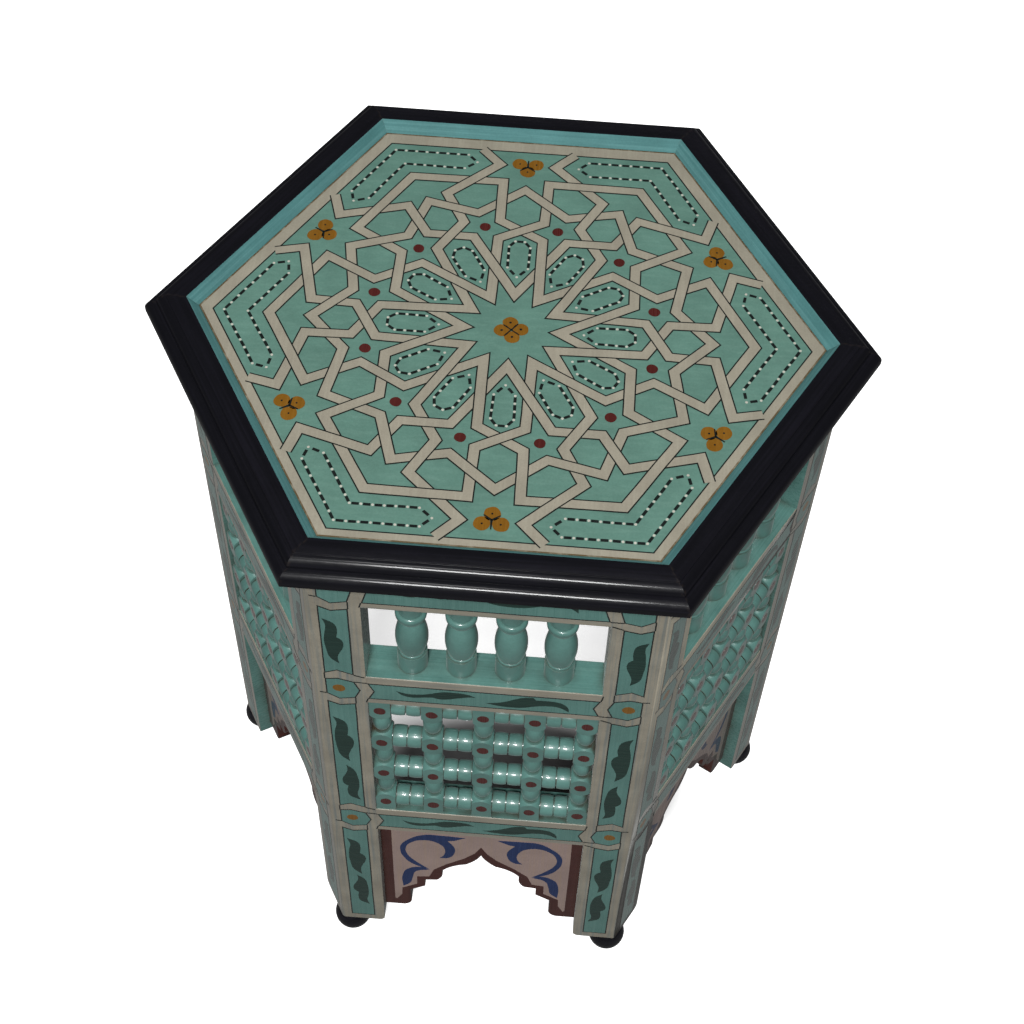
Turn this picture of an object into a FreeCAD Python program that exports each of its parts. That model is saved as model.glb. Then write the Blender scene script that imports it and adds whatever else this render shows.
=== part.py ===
import FreeCAD, Part
import math
import os
from types import SimpleNamespace

import Sketcher
from FreeCAD import Placement, Rotation, Vector

# A six-sided painted side table: a framed top on six corner posts with ball feet. Between each pair of
# posts stand three rails, an open gallery of turned balusters, a turned lattice panel and an arched apron.
# The frame is the floor under the table's centre, +Z up. Side 1 faces -Y, and the sides go round
# counter-clockwise. Lengths are millimetres.

SIZES = (
    ("side_count", 6, "sides of the table"),
    ("body_radius", 227, "centre to a post's outer arris, which is also the width of one side"),
    ("post_wing", 35, "width of a post seen on one side"),
    ("post_height", 515, "post without its foot"),
    ("post_rounding", 5, "rounding of a post's lower corners beside the arch"),
    ("frame_depth", 26, "thickness of posts and rails behind the face"),
    ("fit_gap", 0.15, "room round every tenon, peg and dowel"),
    ("top_rail_depth", 43, "height of the top rail"),
    ("gallery_height", 83, "open height between top and middle rail"),
    ("middle_rail_depth", 33, "height of the middle rail"),
    ("lattice_height", 156, "open height between middle and lower rail"),
    ("lower_rail_depth", 33, "height of the lower rail"),
    ("tenon_length", 12, "how far a rail's tenon enters the post"),
    ("tenon_thickness", 10, "thickness of a rail's tenon"),
    ("tenon_inset", 8, "face of the rail to the tenon's cheek"),
    ("tenon_shoulder", 5, "rail above and below its tenon"),
    ("panel_apothem", 192, "centre to the edge of the top panel"),
    ("panel_thickness", 9.5, "top panel"),
    ("panel_rebate", 4, "depth of the rebate round the panel, which takes the lip of the rim"),
    ("rim_height", 17, "moulded rim"),
    ("rim_inner", 188, "centre to the inner top arris of the rim"),
    ("rim_bevel", 6.5, "width of the sloping inner face of the rim"),
    ("rim_flat", 12, "flat top of the rim"),
    ("rim_step", 0.8, "quirk between the flat and the first round"),
    ("rim_round", 6.5, "radius of each of the two rounds"),
    ("rim_ledge", 0.8, "ledge between the two rounds"),
    ("baluster_count", 4, "balusters in one gallery"),
    ("baluster_pitch", 32.5, "spacing of the balusters"),
    ("baluster_set_back", 15, "face of the side to the baluster's axis"),
    ("baluster_peg_radius", 4, "turned peg at each end of a baluster"),
    ("baluster_peg_length", 8, "depth that the peg enters a rail"),
    ("base_radius", 10.1, "base drum and top ring of a baluster"),
    ("base_height", 17.2, "height of the base drum"),
    ("top_ring_height", 6, "height of the top ring"),
    ("bead_height", 2, "fine bead on the base drum"),
    ("bead_round", 1.15, "profile radius of the bead"),
    ("belly_foot_radius", 8.6, "foot of the bead and of the belly"),
    ("belly_round", 49, "profile radius of the belly"),
    ("baluster_neck_radius", 7.2, "neck below the bowl"),
    ("neck_height", 1.2, "straight neck below the bowl"),
    ("bowl_start", 54.2, "foot of the bowl above the middle rail"),
    ("bowl_height", 6.6, "height of the bowl"),
    ("bowl_radius", 10.4, "bowl at its lip"),
    ("bowl_round", 8, "profile radius of the bowl"),
    ("lip_height", 3, "rounded lip of the bowl"),
    ("lip_round", 2.6, "profile radius of the lip"),
    ("shaft_foot_radius", 8.2, "shaft where it rises inside the lip"),
    ("shaft_top_radius", 8.9, "shaft under the top ring"),
    ("shaft_round", 60, "hollow profile of the shaft"),
    ("column_count", 5, "spindles in one lattice"),
    ("row_count", 4, "square blocks on one spindle"),
    ("column_pitch", 35.5, "spacing of the spindles"),
    ("block_size", 14.6, "square block left on the spindle"),
    ("block_height", 24, "height of that block"),
    ("shoulder_length", 8, "rounding turned on a block's end"),
    ("shoulder_radius", 6.2, "end of the block inside that rounding"),
    ("shoulder_round", 12, "profile radius of that rounding"),
    ("lattice_set_back", 1, "face of the side to the face of the blocks"),
    ("spindle_peg_radius", 3.5, "peg at each end of a spindle"),
    ("spindle_peg_length", 8, "depth that the spindle's peg enters a rail"),
    ("pinch_radius", 3.6, "thinnest turning beside a block"),
    ("pinch_length", 1, "length of the pinch"),
    ("barrel_edge_radius", 4.2, "barrel at its ends"),
    ("barrel_round", 16.4, "profile radius of the barrel"),
    ("link_peg_radius", 2.2, "peg at each end of a link"),
    ("link_peg_length", 4, "depth that the link's peg enters a block"),
    ("link_pinch_length", 0.5, "narrow turning beside the block"),
    ("link_pinch_radius", 6, "radius of that turning"),
    ("link_groove_length", 1, "groove between the two rings"),
    ("link_groove_radius", 6.2, "bottom of the groove"),
    ("ring_edge_radius", 7.6, "ring at its ends"),
    ("ring_round", 26, "profile radius of a ring"),
    ("apron_thickness", 12, "apron board"),
    ("apron_set_back", 10, "face of the side to the face of the apron"),
    ("apron_tongue", 5, "how far the apron enters the posts and the lower rail"),
    ("apron_lift", 12, "foot of the post to the ends of the apron"),
    ("arch_apex", 114, "foot of the post to the point of the arch"),
    ("lobe_one_half", 57.3, "centre to the first lobe"),
    ("lobe_one_round", 9, "rounded corner of the first lobe"),
    ("lobe_one_flat", 5.7, "width of that corner"),
    ("lobe_one_rise", 12, "height of that corner"),
    ("lobe_one_top", 41, "foot of the post to the top of the first lobe"),
    ("lobe_two_half", 45, "centre to the second lobe"),
    ("lobe_two_low", 50.5, "foot of the post to the second lobe"),
    ("lobe_two_top", 62, "foot of the post to the top of the second lobe"),
    ("lobe_three_half", 35.3, "centre to the third lobe"),
    ("lobe_three_low", 63.5, "foot of the post to the third lobe"),
    ("lobe_three_round", 16, "rounded corner of the third lobe"),
    ("ogee_half", 31.5, "centre to the spring of the ogee"),
    ("ogee_spring", 80, "foot of the post to the spring of the ogee"),
    ("ogee_turn_half", 12, "centre to where the ogee turns"),
    ("ogee_turn", 96, "foot of the post to where the ogee turns"),
    ("ogee_lower_round", 32, "lower curve of the ogee"),
    ("ogee_upper_round", 42, "upper curve of the ogee"),
    ("foot_ring", 214, "centre to the axis of a foot"),
    ("foot_height", 26, "ball foot below the post"),
    ("foot_radius", 15, "ball foot at its widest"),
    ("foot_belly", 15, "height of the widest place"),
    ("foot_flat_radius", 4, "flat that stands on the floor"),
    ("foot_neck_radius", 9, "foot where it meets the post"),
    ("foot_lower_round", 15.8, "profile radius below the widest place"),
    ("foot_upper_round", 13.1, "profile radius above the widest place"),
    ("dowel_radius", 5, "dowel turned on the foot"),
    ("dowel_length", 18, "depth that the dowel enters the post"),
    ("glue_block_leg", 20, "glue block in the corner of rail and panel"),
    ("glue_block_length", 46, "length of a glue block"),
    ("glue_block_pitch", 84, "spacing of the two glue blocks of a side"),
)

LEFT = 1
RIGHT = -1
SIDES = 6
TURN = 360.0 / SIDES
TINY_VOLUME = 1.0
SAME_LENGTH = 1e-6


class Size:
    """A length together with the sheet formula that drives it."""

    def __init__(self, value, formula):
        self.value = value
        self.formula = formula

    def __add__(self, other):
        other = size(other)
        return Size(self.value + other.value, f"({self.formula} + {other.formula})")

    def __sub__(self, other):
        other = size(other)
        return Size(self.value - other.value, f"({self.formula} - {other.formula})")

    def __mul__(self, other):
        other = size(other)
        return Size(self.value * other.value, f"({self.formula} * {other.formula})")

    def __truediv__(self, other):
        other = size(other)
        return Size(self.value / other.value, f"({self.formula} / {other.formula})")

    def __neg__(self):
        return Size(-self.value, f"(0 - {self.formula})")


def size(item):
    """Give a plain number the form of a Size."""
    if isinstance(item, Size):
        return item
    return Size(float(item), f"({float(item)})")


def fill_sheet(doc):
    """Write the driving dimensions into the sheet, one named cell each."""
    sheet = doc.addObject("Spreadsheet::Sheet", "Sizes")
    named = {}
    for row, (alias, value, meaning) in enumerate(SIZES, start=1):
        sheet.set(f"A{row}", alias)
        sheet.set(f"B{row}", str(value))
        sheet.set(f"C{row}", meaning)
        sheet.setAlias(f"B{row}", alias)
        named[alias] = Size(float(value), f"Sizes.{alias}")
    doc.recompute()
    return SimpleNamespace(**named)


doc = FreeCAD.newDocument("hexagonal_table")
d = fill_sheet(doc)

# Heights and widths that follow from the sheet.
ROOT_3 = Size(math.sqrt(3), "sqrt(3)")
apothem = d.body_radius * ROOT_3 / 2
opening_half = d.body_radius / 2 - d.post_wing
post_top = d.foot_height + d.post_height
top_rail_bottom = post_top - d.top_rail_depth
middle_rail_top = top_rail_bottom - d.gallery_height
middle_rail_bottom = middle_rail_top - d.middle_rail_depth
lower_rail_top = middle_rail_bottom - d.lattice_height
lower_rail_bottom = lower_rail_top - d.lower_rail_depth
panel_top = post_top + d.panel_thickness
rebate_floor = panel_top - d.panel_rebate
rim_top = post_top + d.rim_height
rim_foot = d.rim_inner - d.rim_bevel
spindle_set_back = d.lattice_set_back + d.block_size / 2
row_pitch = (d.lattice_height - d.block_height) / (d.row_count - 1)
first_row = lower_rail_top + d.block_height / 2
last_row = middle_rail_bottom - d.block_height / 2
first_column = -d.column_pitch * (d.column_count - 1) / 2
first_baluster = -d.baluster_pitch * (d.baluster_count - 1) / 2

nodes = []
pockets = []


def new_body(label, turn=0.0):
    """Start a sub-part, turned about the table's axis."""
    body = doc.addObject("PartDesign::Body", label)
    body.Label = label
    body.Placement = Placement(Vector(), Rotation(Vector(0, 0, 1), turn))
    nodes.append(body)
    return body


def origin_feature(body, role):
    return next(item for item in body.Origin.OriginFeatures if item.Role == role)


def sketch_on(body, role, name, lift=0.0, across=0.0, up=0.0):
    """Add a sketch parallel to an origin plane, lifted along its normal, with its zero moved in the plane."""
    drawing = body.newObject("Sketcher::SketchObject", f"{body.Name}_{name}")
    drawing.AttachmentSupport = [(origin_feature(body, role), "")]
    drawing.MapMode = "FlatFace"
    for axis, distance in (("x", across), ("y", up), ("z", lift)):
        drawing.setExpression(f"AttachmentOffset.Base.{axis}", size(distance).formula)
    return drawing


def bind(drawing, constraint, distance):
    """Add a dimension to a sketch and drive it from the sheet."""
    index = drawing.addConstraint(constraint)
    drawing.setExpression(f"Constraints[{index}]", distance.formula)


def bend(start, end, radius, side):
    """Arc from start to end that turns to the given side."""
    chord = end - start
    reach = math.sqrt(max(radius ** 2 - chord.Length ** 2 / 4, 0))
    across = Vector(-chord.y, chord.x, 0).normalize() * side
    centre = (start + end) / 2 + across * reach
    first, last = (start, end) if side == LEFT else (end, start)
    angles = [math.atan2(point.y - centre.y, point.x - centre.x) for point in (first, last)]
    if angles[1] < angles[0]:
        angles[1] += 2 * math.pi
    return Part.ArcOfCircle(Part.Circle(centre, Vector(0, 0, 1), radius), *angles)


def outline(drawing, corners):
    """Draw a closed outline. A corner is (across, up), or (across, up, radius, side) to bend its next edge."""
    first = drawing.GeometryCount
    count = len(corners)
    points = [Vector(size(corner[0]).value, size(corner[1]).value, 0) for corner in corners]
    ends = []
    for i, corner in enumerate(corners):
        start = points[i]
        end = points[(i + 1) % count]
        if len(corner) == 2:
            drawing.addGeometry(Part.LineSegment(start, end), False)
            ends.append((1, 2))
        else:
            drawing.addGeometry(bend(start, end, corner[2].value, corner[3]), False)
            ends.append((1, 2) if corner[3] == LEFT else (2, 1))
    for i, corner in enumerate(corners):
        edge = first + i
        following = first + (i + 1) % count
        meeting = Sketcher.Constraint("Coincident", edge, ends[i][1], following, ends[(i + 1) % count][0])
        drawing.addConstraint(meeting)
        for kind, value in zip(("DistanceX", "DistanceY"), corner):
            value = size(value)
            bind(drawing, Sketcher.Constraint(kind, -1, 1, edge, ends[i][0], value.value), value)
        if len(corner) > 2:
            bind(drawing, Sketcher.Constraint("Radius", edge, corner[2].value), corner[2])


def rectangle(drawing, left, low, right, high):
    outline(drawing, [(left, low), (right, low), (right, high), (left, high)])


def circle(drawing, across, up, radius):
    centre = Vector(across.value, up.value, 0)
    index = drawing.addGeometry(Part.Circle(centre, Vector(0, 0, 1), radius.value))
    bind(drawing, Sketcher.Constraint("DistanceX", -1, 1, index, 3, across.value), across)
    bind(drawing, Sketcher.Constraint("DistanceY", -1, 1, index, 3, up.value), up)
    bind(drawing, Sketcher.Constraint("Radius", index, radius.value), radius)


def pad(body, drawing, length, reverse=False, symmetric=False):
    feature = body.newObject("PartDesign::Pad", f"{drawing.Name}_pad")
    feature.Profile = drawing
    feature.setExpression("Length", size(length).formula)
    feature.Reversed = reverse
    if symmetric:
        feature.SideType = "Symmetric"
    return feature


def pocket(body, drawing, length, reverse=False, symmetric=False):
    feature = body.newObject("PartDesign::Pocket", f"{drawing.Name}_pocket")
    feature.Profile = drawing
    feature.setExpression("Length", size(length).formula)
    feature.Reversed = reverse
    if symmetric:
        feature.SideType = "Symmetric"
    pockets.append(feature)
    return feature


def revolve(body, drawing, axis):
    feature = body.newObject("PartDesign::Revolution", f"{drawing.Name}_turning")
    feature.Profile = drawing
    feature.ReferenceAxis = (drawing, [axis])
    feature.Angle = 360
    return feature


def turn_away(body, drawing, axis):
    """Cut the drawn outlines away on the lathe."""
    feature = body.newObject("PartDesign::Groove", f"{drawing.Name}_groove")
    feature.Profile = drawing
    feature.ReferenceAxis = (drawing, [axis])
    feature.Angle = 360
    pockets.append(feature)
    return feature


def repeat(body, pattern):
    """Let a pattern stand for the whole body made so far."""
    pattern.TransformMode = "Whole shape"
    body.Tip = pattern


def row(body, role, pitch, count):
    """Repeat the body along an axis."""
    doc.recompute()
    pattern = body.newObject("PartDesign::LinearPattern", f"{body.Name}_row_{role[0]}")
    pattern.Direction = (origin_feature(body, role), [""])
    pattern.setExpression("Length", (pitch * (count - 1)).formula)
    pattern.setExpression("Occurrences", count.formula)
    repeat(body, pattern)


def ring(body):
    """Repeat the body once for each side, round the table's axis."""
    doc.recompute()
    pattern = body.newObject("PartDesign::PolarPattern", f"{body.Name}_ring")
    pattern.Axis = (origin_feature(body, "Z_Axis"), [""])
    pattern.Angle = 360
    pattern.setExpression("Occurrences", d.side_count.formula)
    repeat(body, pattern)


def make_top_panel():
    """The six-sided board: a full-size tongue below, and the painted field raised above its rebate."""
    body = new_body("top_panel")
    layers = (
        ("tongue", d.panel_apothem, post_top, d.panel_thickness - d.panel_rebate),
        ("field", rim_foot - d.fit_gap, rebate_floor, d.panel_rebate),
    )
    for name, reach, low, height in layers:
        layer = body.newObject("PartDesign::AdditivePrism", f"top_panel_{name}")
        layer.setExpression("Polygon", d.side_count.formula)
        layer.setExpression("Circumradius", (reach * 2 / ROOT_3).formula)
        layer.setExpression("Height", height.formula)
        layer.setExpression("Placement.Base.z", low.formula)


def make_rim(label, turn):
    """One length of the moulded rim, mitred at both ends, with a lip that holds the panel by its rebate."""
    body = new_body(label, turn)
    flat_end = d.rim_inner + d.rim_flat
    first_round = rim_top - d.rim_step - d.rim_round
    ledge = flat_end + d.rim_round + d.rim_ledge
    outer = ledge + d.rim_round
    profile = sketch_on(body, "YZ_Plane", "profile")
    outline(profile, [
        (-rim_foot, rebate_floor),
        (-rim_foot, panel_top),
        (-d.rim_inner, rim_top),
        (-flat_end, rim_top),
        (-flat_end, rim_top - d.rim_step, d.rim_round, LEFT),
        (-(flat_end + d.rim_round), first_round),
        (-ledge, first_round, d.rim_round, LEFT),
        (-outer, first_round - d.rim_round),
        (-outer, post_top),
        (-d.panel_apothem, post_top),
        (-d.panel_apothem, rebate_floor),
    ])
    pad(body, profile, outer * 2 / ROOT_3, symmetric=True)
    inner = rim_foot - d.rim_bevel
    mitres = sketch_on(body, "XY_Plane", "mitres", lift=post_top)
    for side in (LEFT, RIGHT):
        outline(mitres, [
            (inner * side / ROOT_3, -inner),
            (outer * side / ROOT_3, -outer),
            (outer * side / ROOT_3, -inner),
        ])
    pocket(body, mitres, d.rim_height, reverse=True)


def at_post(across, depth):
    """Place on side 1, seen from the post at its right-hand end with that post's arris on +X."""
    forward = depth - apothem
    return across / 2 - forward * ROOT_3 / 2, across * ROOT_3 / 2 + forward / 2


def cut_box(body, name, across, depth, low, sides):
    """Cut a box-shaped mortise or groove from the end face of a post's wing."""
    box = body.newObject("PartDesign::SubtractiveBox", f"{body.Name}_{name}")
    box.Placement = Placement(Vector(), Rotation(Vector(0, 0, 1), TURN))
    for prop, length in zip(("Length", "Width", "Height"), sides):
        box.setExpression(prop, length.formula)
    for axis, place in zip("xyz", (*at_post(across, depth), low)):
        box.setExpression(f"Placement.Base.{axis}", place.formula)
    return box


def make_post(label, turn):
    """A corner post: two faces at 120 degrees, with mortises, apron grooves and the hole for its foot."""
    body = new_body(label, turn)
    face_end = at_post(opening_half, size(0))
    inner_end = at_post(opening_half, d.frame_depth)
    section = sketch_on(body, "XY_Plane", "section", lift=d.foot_height)
    outline(section, [
        (d.body_radius, 0),
        (face_end[0], -face_end[1]),
        (inner_end[0], -inner_end[1]),
        (inner_end[0], inner_end[1]),
        (face_end[0], face_end[1]),
    ])
    blank = pad(body, section, d.post_height)
    doc.recompute()
    rounding = body.newObject("PartDesign::Fillet", f"{label}_rounding")
    rounding.Base = (blank, lower_end_edges(blank.Shape))
    rounding.setExpression("Radius", d.post_rounding.formula)
    cuts = []
    thickness = d.tenon_thickness + d.fit_gap * 2
    for name, low, height in rail_levels():
        cuts.append(cut_box(
            body, f"{name}_mortise", opening_half, d.tenon_inset - d.fit_gap,
            low + d.tenon_shoulder - d.fit_gap,
            (d.tenon_length + d.fit_gap, thickness, height - d.tenon_shoulder * 2 + d.fit_gap * 2),
        ))
    groove_low = d.foot_height + d.apron_lift - d.fit_gap
    cuts.append(cut_box(
        body, "apron_groove", opening_half, d.apron_set_back - d.fit_gap, groove_low,
        (d.apron_tongue + d.fit_gap, d.apron_thickness + d.fit_gap * 2,
         lower_rail_bottom + d.apron_tongue + d.fit_gap - groove_low),
    ))
    other_wing = body.newObject("PartDesign::Mirrored", f"{label}_other_wing")
    other_wing.Originals = cuts
    other_wing.MirrorPlane = (origin_feature(body, "XZ_Plane"), [""])
    body.Tip = other_wing
    hole = sketch_on(body, "XY_Plane", "dowel_hole", lift=d.foot_height)
    circle(hole, d.foot_ring, size(0), d.dowel_radius + d.fit_gap)
    pocket(body, hole, d.dowel_length + d.fit_gap, reverse=True)


def lower_end_edges(shape):
    """The two bottom edges of a post that face along the sides, beside the arches."""
    low = shape.BoundBox.ZMin
    end_length = d.frame_depth.value
    names = []
    for number, edge in enumerate(shape.Edges, start=1):
        at_bottom = abs(edge.BoundBox.ZMax - low) < SAME_LENGTH
        if at_bottom and abs(edge.Length - end_length) < SAME_LENGTH:
            names.append(f"Edge{number}")
    return names


def rail_levels():
    return (
        ("top_rail", top_rail_bottom, d.top_rail_depth),
        ("middle_rail", middle_rail_bottom, d.middle_rail_depth),
        ("lower_rail", lower_rail_bottom, d.lower_rail_depth),
    )


def rail_blank(label, turn, low, height):
    """A rail between two posts, with a tenon at each end."""
    body = new_body(label, turn)
    face = sketch_on(body, "XZ_Plane", "face", lift=apothem)
    rectangle(face, -opening_half, low, opening_half, low + height)
    pad(body, face, d.frame_depth, reverse=True)
    reach = opening_half + d.tenon_length
    tenons = sketch_on(body, "XZ_Plane", "tenons", lift=apothem - d.tenon_inset)
    rectangle(tenons, -reach, low + d.tenon_shoulder, reach, low + height - d.tenon_shoulder)
    pad(body, tenons, d.tenon_thickness, reverse=True)
    return body


def drill(body, name, level, upward, count, first, pitch, set_back, radius, depth):
    """Drill a row of blind peg holes into the top or the underside of a rail."""
    holes = sketch_on(body, "XY_Plane", name, lift=level)
    for i in range(int(count.value)):
        circle(holes, first + pitch * i, set_back - apothem, radius + d.fit_gap)
    pocket(body, holes, depth + d.fit_gap, reverse=upward)


def drill_for_balusters(body, level, upward):
    drill(body, "baluster_holes", level, upward, d.baluster_count, first_baluster, d.baluster_pitch,
          d.baluster_set_back, d.baluster_peg_radius, d.baluster_peg_length)


def drill_for_spindles(body, level, upward):
    drill(body, "spindle_holes", level, upward, d.column_count, first_column, d.column_pitch,
          spindle_set_back, d.spindle_peg_radius, d.spindle_peg_length)


def make_top_rail(label, turn):
    body = rail_blank(label, turn, top_rail_bottom, d.top_rail_depth)
    drill_for_balusters(body, top_rail_bottom, True)


def make_middle_rail(label, turn):
    body = rail_blank(label, turn, middle_rail_bottom, d.middle_rail_depth)
    drill_for_balusters(body, middle_rail_top, False)
    drill_for_spindles(body, middle_rail_bottom, True)


def make_lower_rail(label, turn):
    body = rail_blank(label, turn, lower_rail_bottom, d.lower_rail_depth)
    drill_for_spindles(body, lower_rail_top, False)
    groove = sketch_on(body, "XY_Plane", "apron_groove", lift=lower_rail_bottom)
    near = d.apron_set_back - d.fit_gap - apothem
    far = d.apron_set_back + d.apron_thickness + d.fit_gap - apothem
    rectangle(groove, -opening_half, near, opening_half, far)
    pocket(body, groove, d.apron_tongue + d.fit_gap, reverse=True)


def make_balusters(label, turn):
    """The turned balusters of one gallery: drum, bead, belly, bowl and shaft, with a peg at each end."""
    body = new_body(label, turn)
    profile = sketch_on(body, "XZ_Plane", "profile", lift=apothem - d.baluster_set_back,
                        across=first_baluster, up=middle_rail_top)
    belly_start = d.base_height + d.bead_height
    lip_start = d.bowl_start + d.bowl_height
    outline(profile, [
        (0, -d.baluster_peg_length),
        (d.baluster_peg_radius, -d.baluster_peg_length),
        (d.baluster_peg_radius, 0),
        (d.base_radius, 0),
        (d.base_radius, d.base_height),
        (d.belly_foot_radius, d.base_height, d.bead_round, LEFT),
        (d.belly_foot_radius, belly_start, d.belly_round, LEFT),
        (d.baluster_neck_radius, d.bowl_start - d.neck_height),
        (d.baluster_neck_radius, d.bowl_start, d.bowl_round, LEFT),
        (d.bowl_radius, lip_start, d.lip_round, LEFT),
        (d.shaft_foot_radius, lip_start + d.lip_height, d.shaft_round, RIGHT),
        (d.shaft_top_radius, d.gallery_height - d.top_ring_height),
        (d.base_radius, d.gallery_height - d.top_ring_height),
        (d.base_radius, d.gallery_height),
        (d.baluster_peg_radius, d.gallery_height),
        (d.baluster_peg_radius, d.gallery_height + d.baluster_peg_length),
        (0, d.gallery_height + d.baluster_peg_length),
    ])
    revolve(body, profile, "V_Axis")
    row(body, "X_Axis", d.baluster_pitch, d.baluster_count)


def spindle_profile():
    """Half outline of a lattice spindle, from its lower peg to its upper peg."""
    reach = d.block_height / 2 + d.pinch_length
    corners = [
        (0, lower_rail_top - d.spindle_peg_length),
        (d.spindle_peg_radius, lower_rail_top - d.spindle_peg_length),
        (d.spindle_peg_radius, first_row),
    ]
    for i in range(int(d.row_count.value) - 1):
        low = first_row + row_pitch * i + reach
        high = first_row + row_pitch * (i + 1) - reach
        corners += [
            (d.pinch_radius, low - reach),
            (d.pinch_radius, low),
            (d.barrel_edge_radius, low, d.barrel_round, LEFT),
            (d.barrel_edge_radius, high),
            (d.pinch_radius, high),
        ]
    corners += [
        (d.pinch_radius, last_row),
        (d.spindle_peg_radius, last_row),
        (d.spindle_peg_radius, middle_rail_bottom + d.spindle_peg_length),
        (0, middle_rail_bottom + d.spindle_peg_length),
    ]
    return corners


def shoulder(drawing, end, upward):
    """Outline what the lathe takes off the corners of a block at its upper (1) or lower (-1) end."""
    corner_reach = d.block_size * 0.73
    clear = end + d.pinch_length / 2 * upward
    outline(drawing, [
        (d.shoulder_radius, end, d.shoulder_round, -upward),
        (corner_reach, end - d.shoulder_length * upward),
        (corner_reach, clear),
        (d.shoulder_radius, clear),
    ])


def make_spindles(label, turn):
    """The upright sticks of one lattice: barrels between blocks with rounded ends, drilled for links."""
    body = new_body(label, turn)
    plane = apothem - spindle_set_back
    profile = sketch_on(body, "XZ_Plane", "profile", lift=plane, across=first_column)
    outline(profile, spindle_profile())
    revolve(body, profile, "V_Axis")
    half_width = d.block_size / 2
    half_height = d.block_height / 2
    blocks = sketch_on(body, "XZ_Plane", "blocks", lift=plane, across=first_column)
    levels = [first_row + row_pitch * i for i in range(int(d.row_count.value))]
    for level in levels:
        rectangle(blocks, -half_width, level - half_height, half_width, level + half_height)
    pad(body, blocks, d.block_size, symmetric=True)
    shoulders = sketch_on(body, "XZ_Plane", "shoulders", lift=plane, across=first_column)
    for lower, upper in zip(levels, levels[1:]):
        shoulder(shoulders, lower + half_height, 1)
        shoulder(shoulders, upper - half_height, -1)
    turn_away(body, shoulders, "V_Axis")
    holes = sketch_on(body, "YZ_Plane", "link_holes", lift=first_column)
    for level in levels:
        circle(holes, -plane, level, d.link_peg_radius + d.fit_gap)
    pocket(body, holes, d.block_size * 2, symmetric=True)
    row(body, "X_Axis", d.column_pitch, d.column_count)


def make_links(label, turn):
    """The short cross pieces of one lattice: two turned rings and a groove, pegged into the blocks."""
    body = new_body(label, turn)
    length = d.column_pitch - d.block_size
    ring_width = (length - d.link_groove_length) / 2 - d.link_pinch_length
    first_end = d.link_pinch_length + ring_width
    second_start = first_end + d.link_groove_length
    profile = sketch_on(body, "XZ_Plane", "profile", lift=apothem - spindle_set_back,
                        across=first_column + d.block_size / 2, up=first_row)
    outline(profile, [
        (-d.link_peg_length, 0),
        (-d.link_peg_length, d.link_peg_radius),
        (0, d.link_peg_radius),
        (0, d.link_pinch_radius),
        (d.link_pinch_length, d.link_pinch_radius),
        (d.link_pinch_length, d.ring_edge_radius, d.ring_round, RIGHT),
        (first_end, d.ring_edge_radius),
        (first_end, d.link_groove_radius),
        (second_start, d.link_groove_radius),
        (second_start, d.ring_edge_radius, d.ring_round, RIGHT),
        (second_start + ring_width, d.ring_edge_radius),
        (second_start + ring_width, d.link_pinch_radius),
        (length, d.link_pinch_radius),
        (length, d.link_peg_radius),
        (length + d.link_peg_length, d.link_peg_radius),
        (length + d.link_peg_length, 0),
    ])
    revolve(body, profile, "H_Axis")
    row(body, "X_Axis", d.column_pitch, d.column_count - 1)
    row(body, "Z_Axis", row_pitch, d.row_count)


def make_apron(label, turn):
    """The arched board under the lower rail: stepped lobes at each side and a pointed ogee between."""
    body = new_body(label, turn)
    floor = d.foot_height
    reach = opening_half + d.apron_tongue
    ends = floor + d.apron_lift
    half = [
        (reach, ends),
        (d.lobe_one_half + d.lobe_one_flat, ends, d.lobe_one_round, LEFT),
        (d.lobe_one_half, ends + d.lobe_one_rise),
        (d.lobe_one_half, floor + d.lobe_one_top),
        (d.lobe_two_half, floor + d.lobe_two_low),
        (d.lobe_two_half, floor + d.lobe_two_top),
        (d.lobe_three_half, floor + d.lobe_three_low, d.lobe_three_round, LEFT),
        (d.ogee_half, floor + d.ogee_spring, d.ogee_lower_round, RIGHT),
        (d.ogee_turn_half, floor + d.ogee_turn, d.ogee_upper_round, LEFT),
    ]
    left = [(-corner[0], *corner[1:]) for corner in half]
    right = []
    for here, before in zip(half[::-1], half[-2::-1] + [half[0][:2]]):
        right.append((here[0], here[1], *before[2:]))
    face = sketch_on(body, "XZ_Plane", "face", lift=apothem - d.apron_set_back)
    apex = (0, floor + d.arch_apex, d.ogee_upper_round, LEFT)
    top = lower_rail_bottom + d.apron_tongue
    outline(face, left + [apex] + right + [(reach, top), (-reach, top)])
    pad(body, face, d.apron_thickness, reverse=True)


def make_feet():
    """Six turned ball feet, each with the dowel that holds it in its post."""
    body = new_body("ball_feet")
    profile = sketch_on(body, "XZ_Plane", "profile", across=d.foot_ring)
    outline(profile, [
        (0, 0),
        (d.foot_flat_radius, 0, d.foot_lower_round, LEFT),
        (d.foot_radius, d.foot_belly, d.foot_upper_round, LEFT),
        (d.foot_neck_radius, d.foot_height),
        (d.dowel_radius, d.foot_height),
        (d.dowel_radius, d.foot_height + d.dowel_length),
        (0, d.foot_height + d.dowel_length),
    ])
    revolve(body, profile, "V_Axis")
    ring(body)


def make_glue_blocks():
    """Two rubbed glue blocks a side, which hold the panel down on the top rails."""
    body = new_body("glue_blocks")
    inside = d.frame_depth - apothem
    section = sketch_on(body, "YZ_Plane", "section", lift=-d.glue_block_pitch / 2)
    outline(section, [
        (inside, post_top - d.glue_block_leg),
        (inside + d.glue_block_leg, post_top),
        (inside, post_top),
    ])
    pad(body, section, d.glue_block_length, symmetric=True)
    row(body, "X_Axis", d.glue_block_pitch, size(2))
    ring(body)


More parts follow.
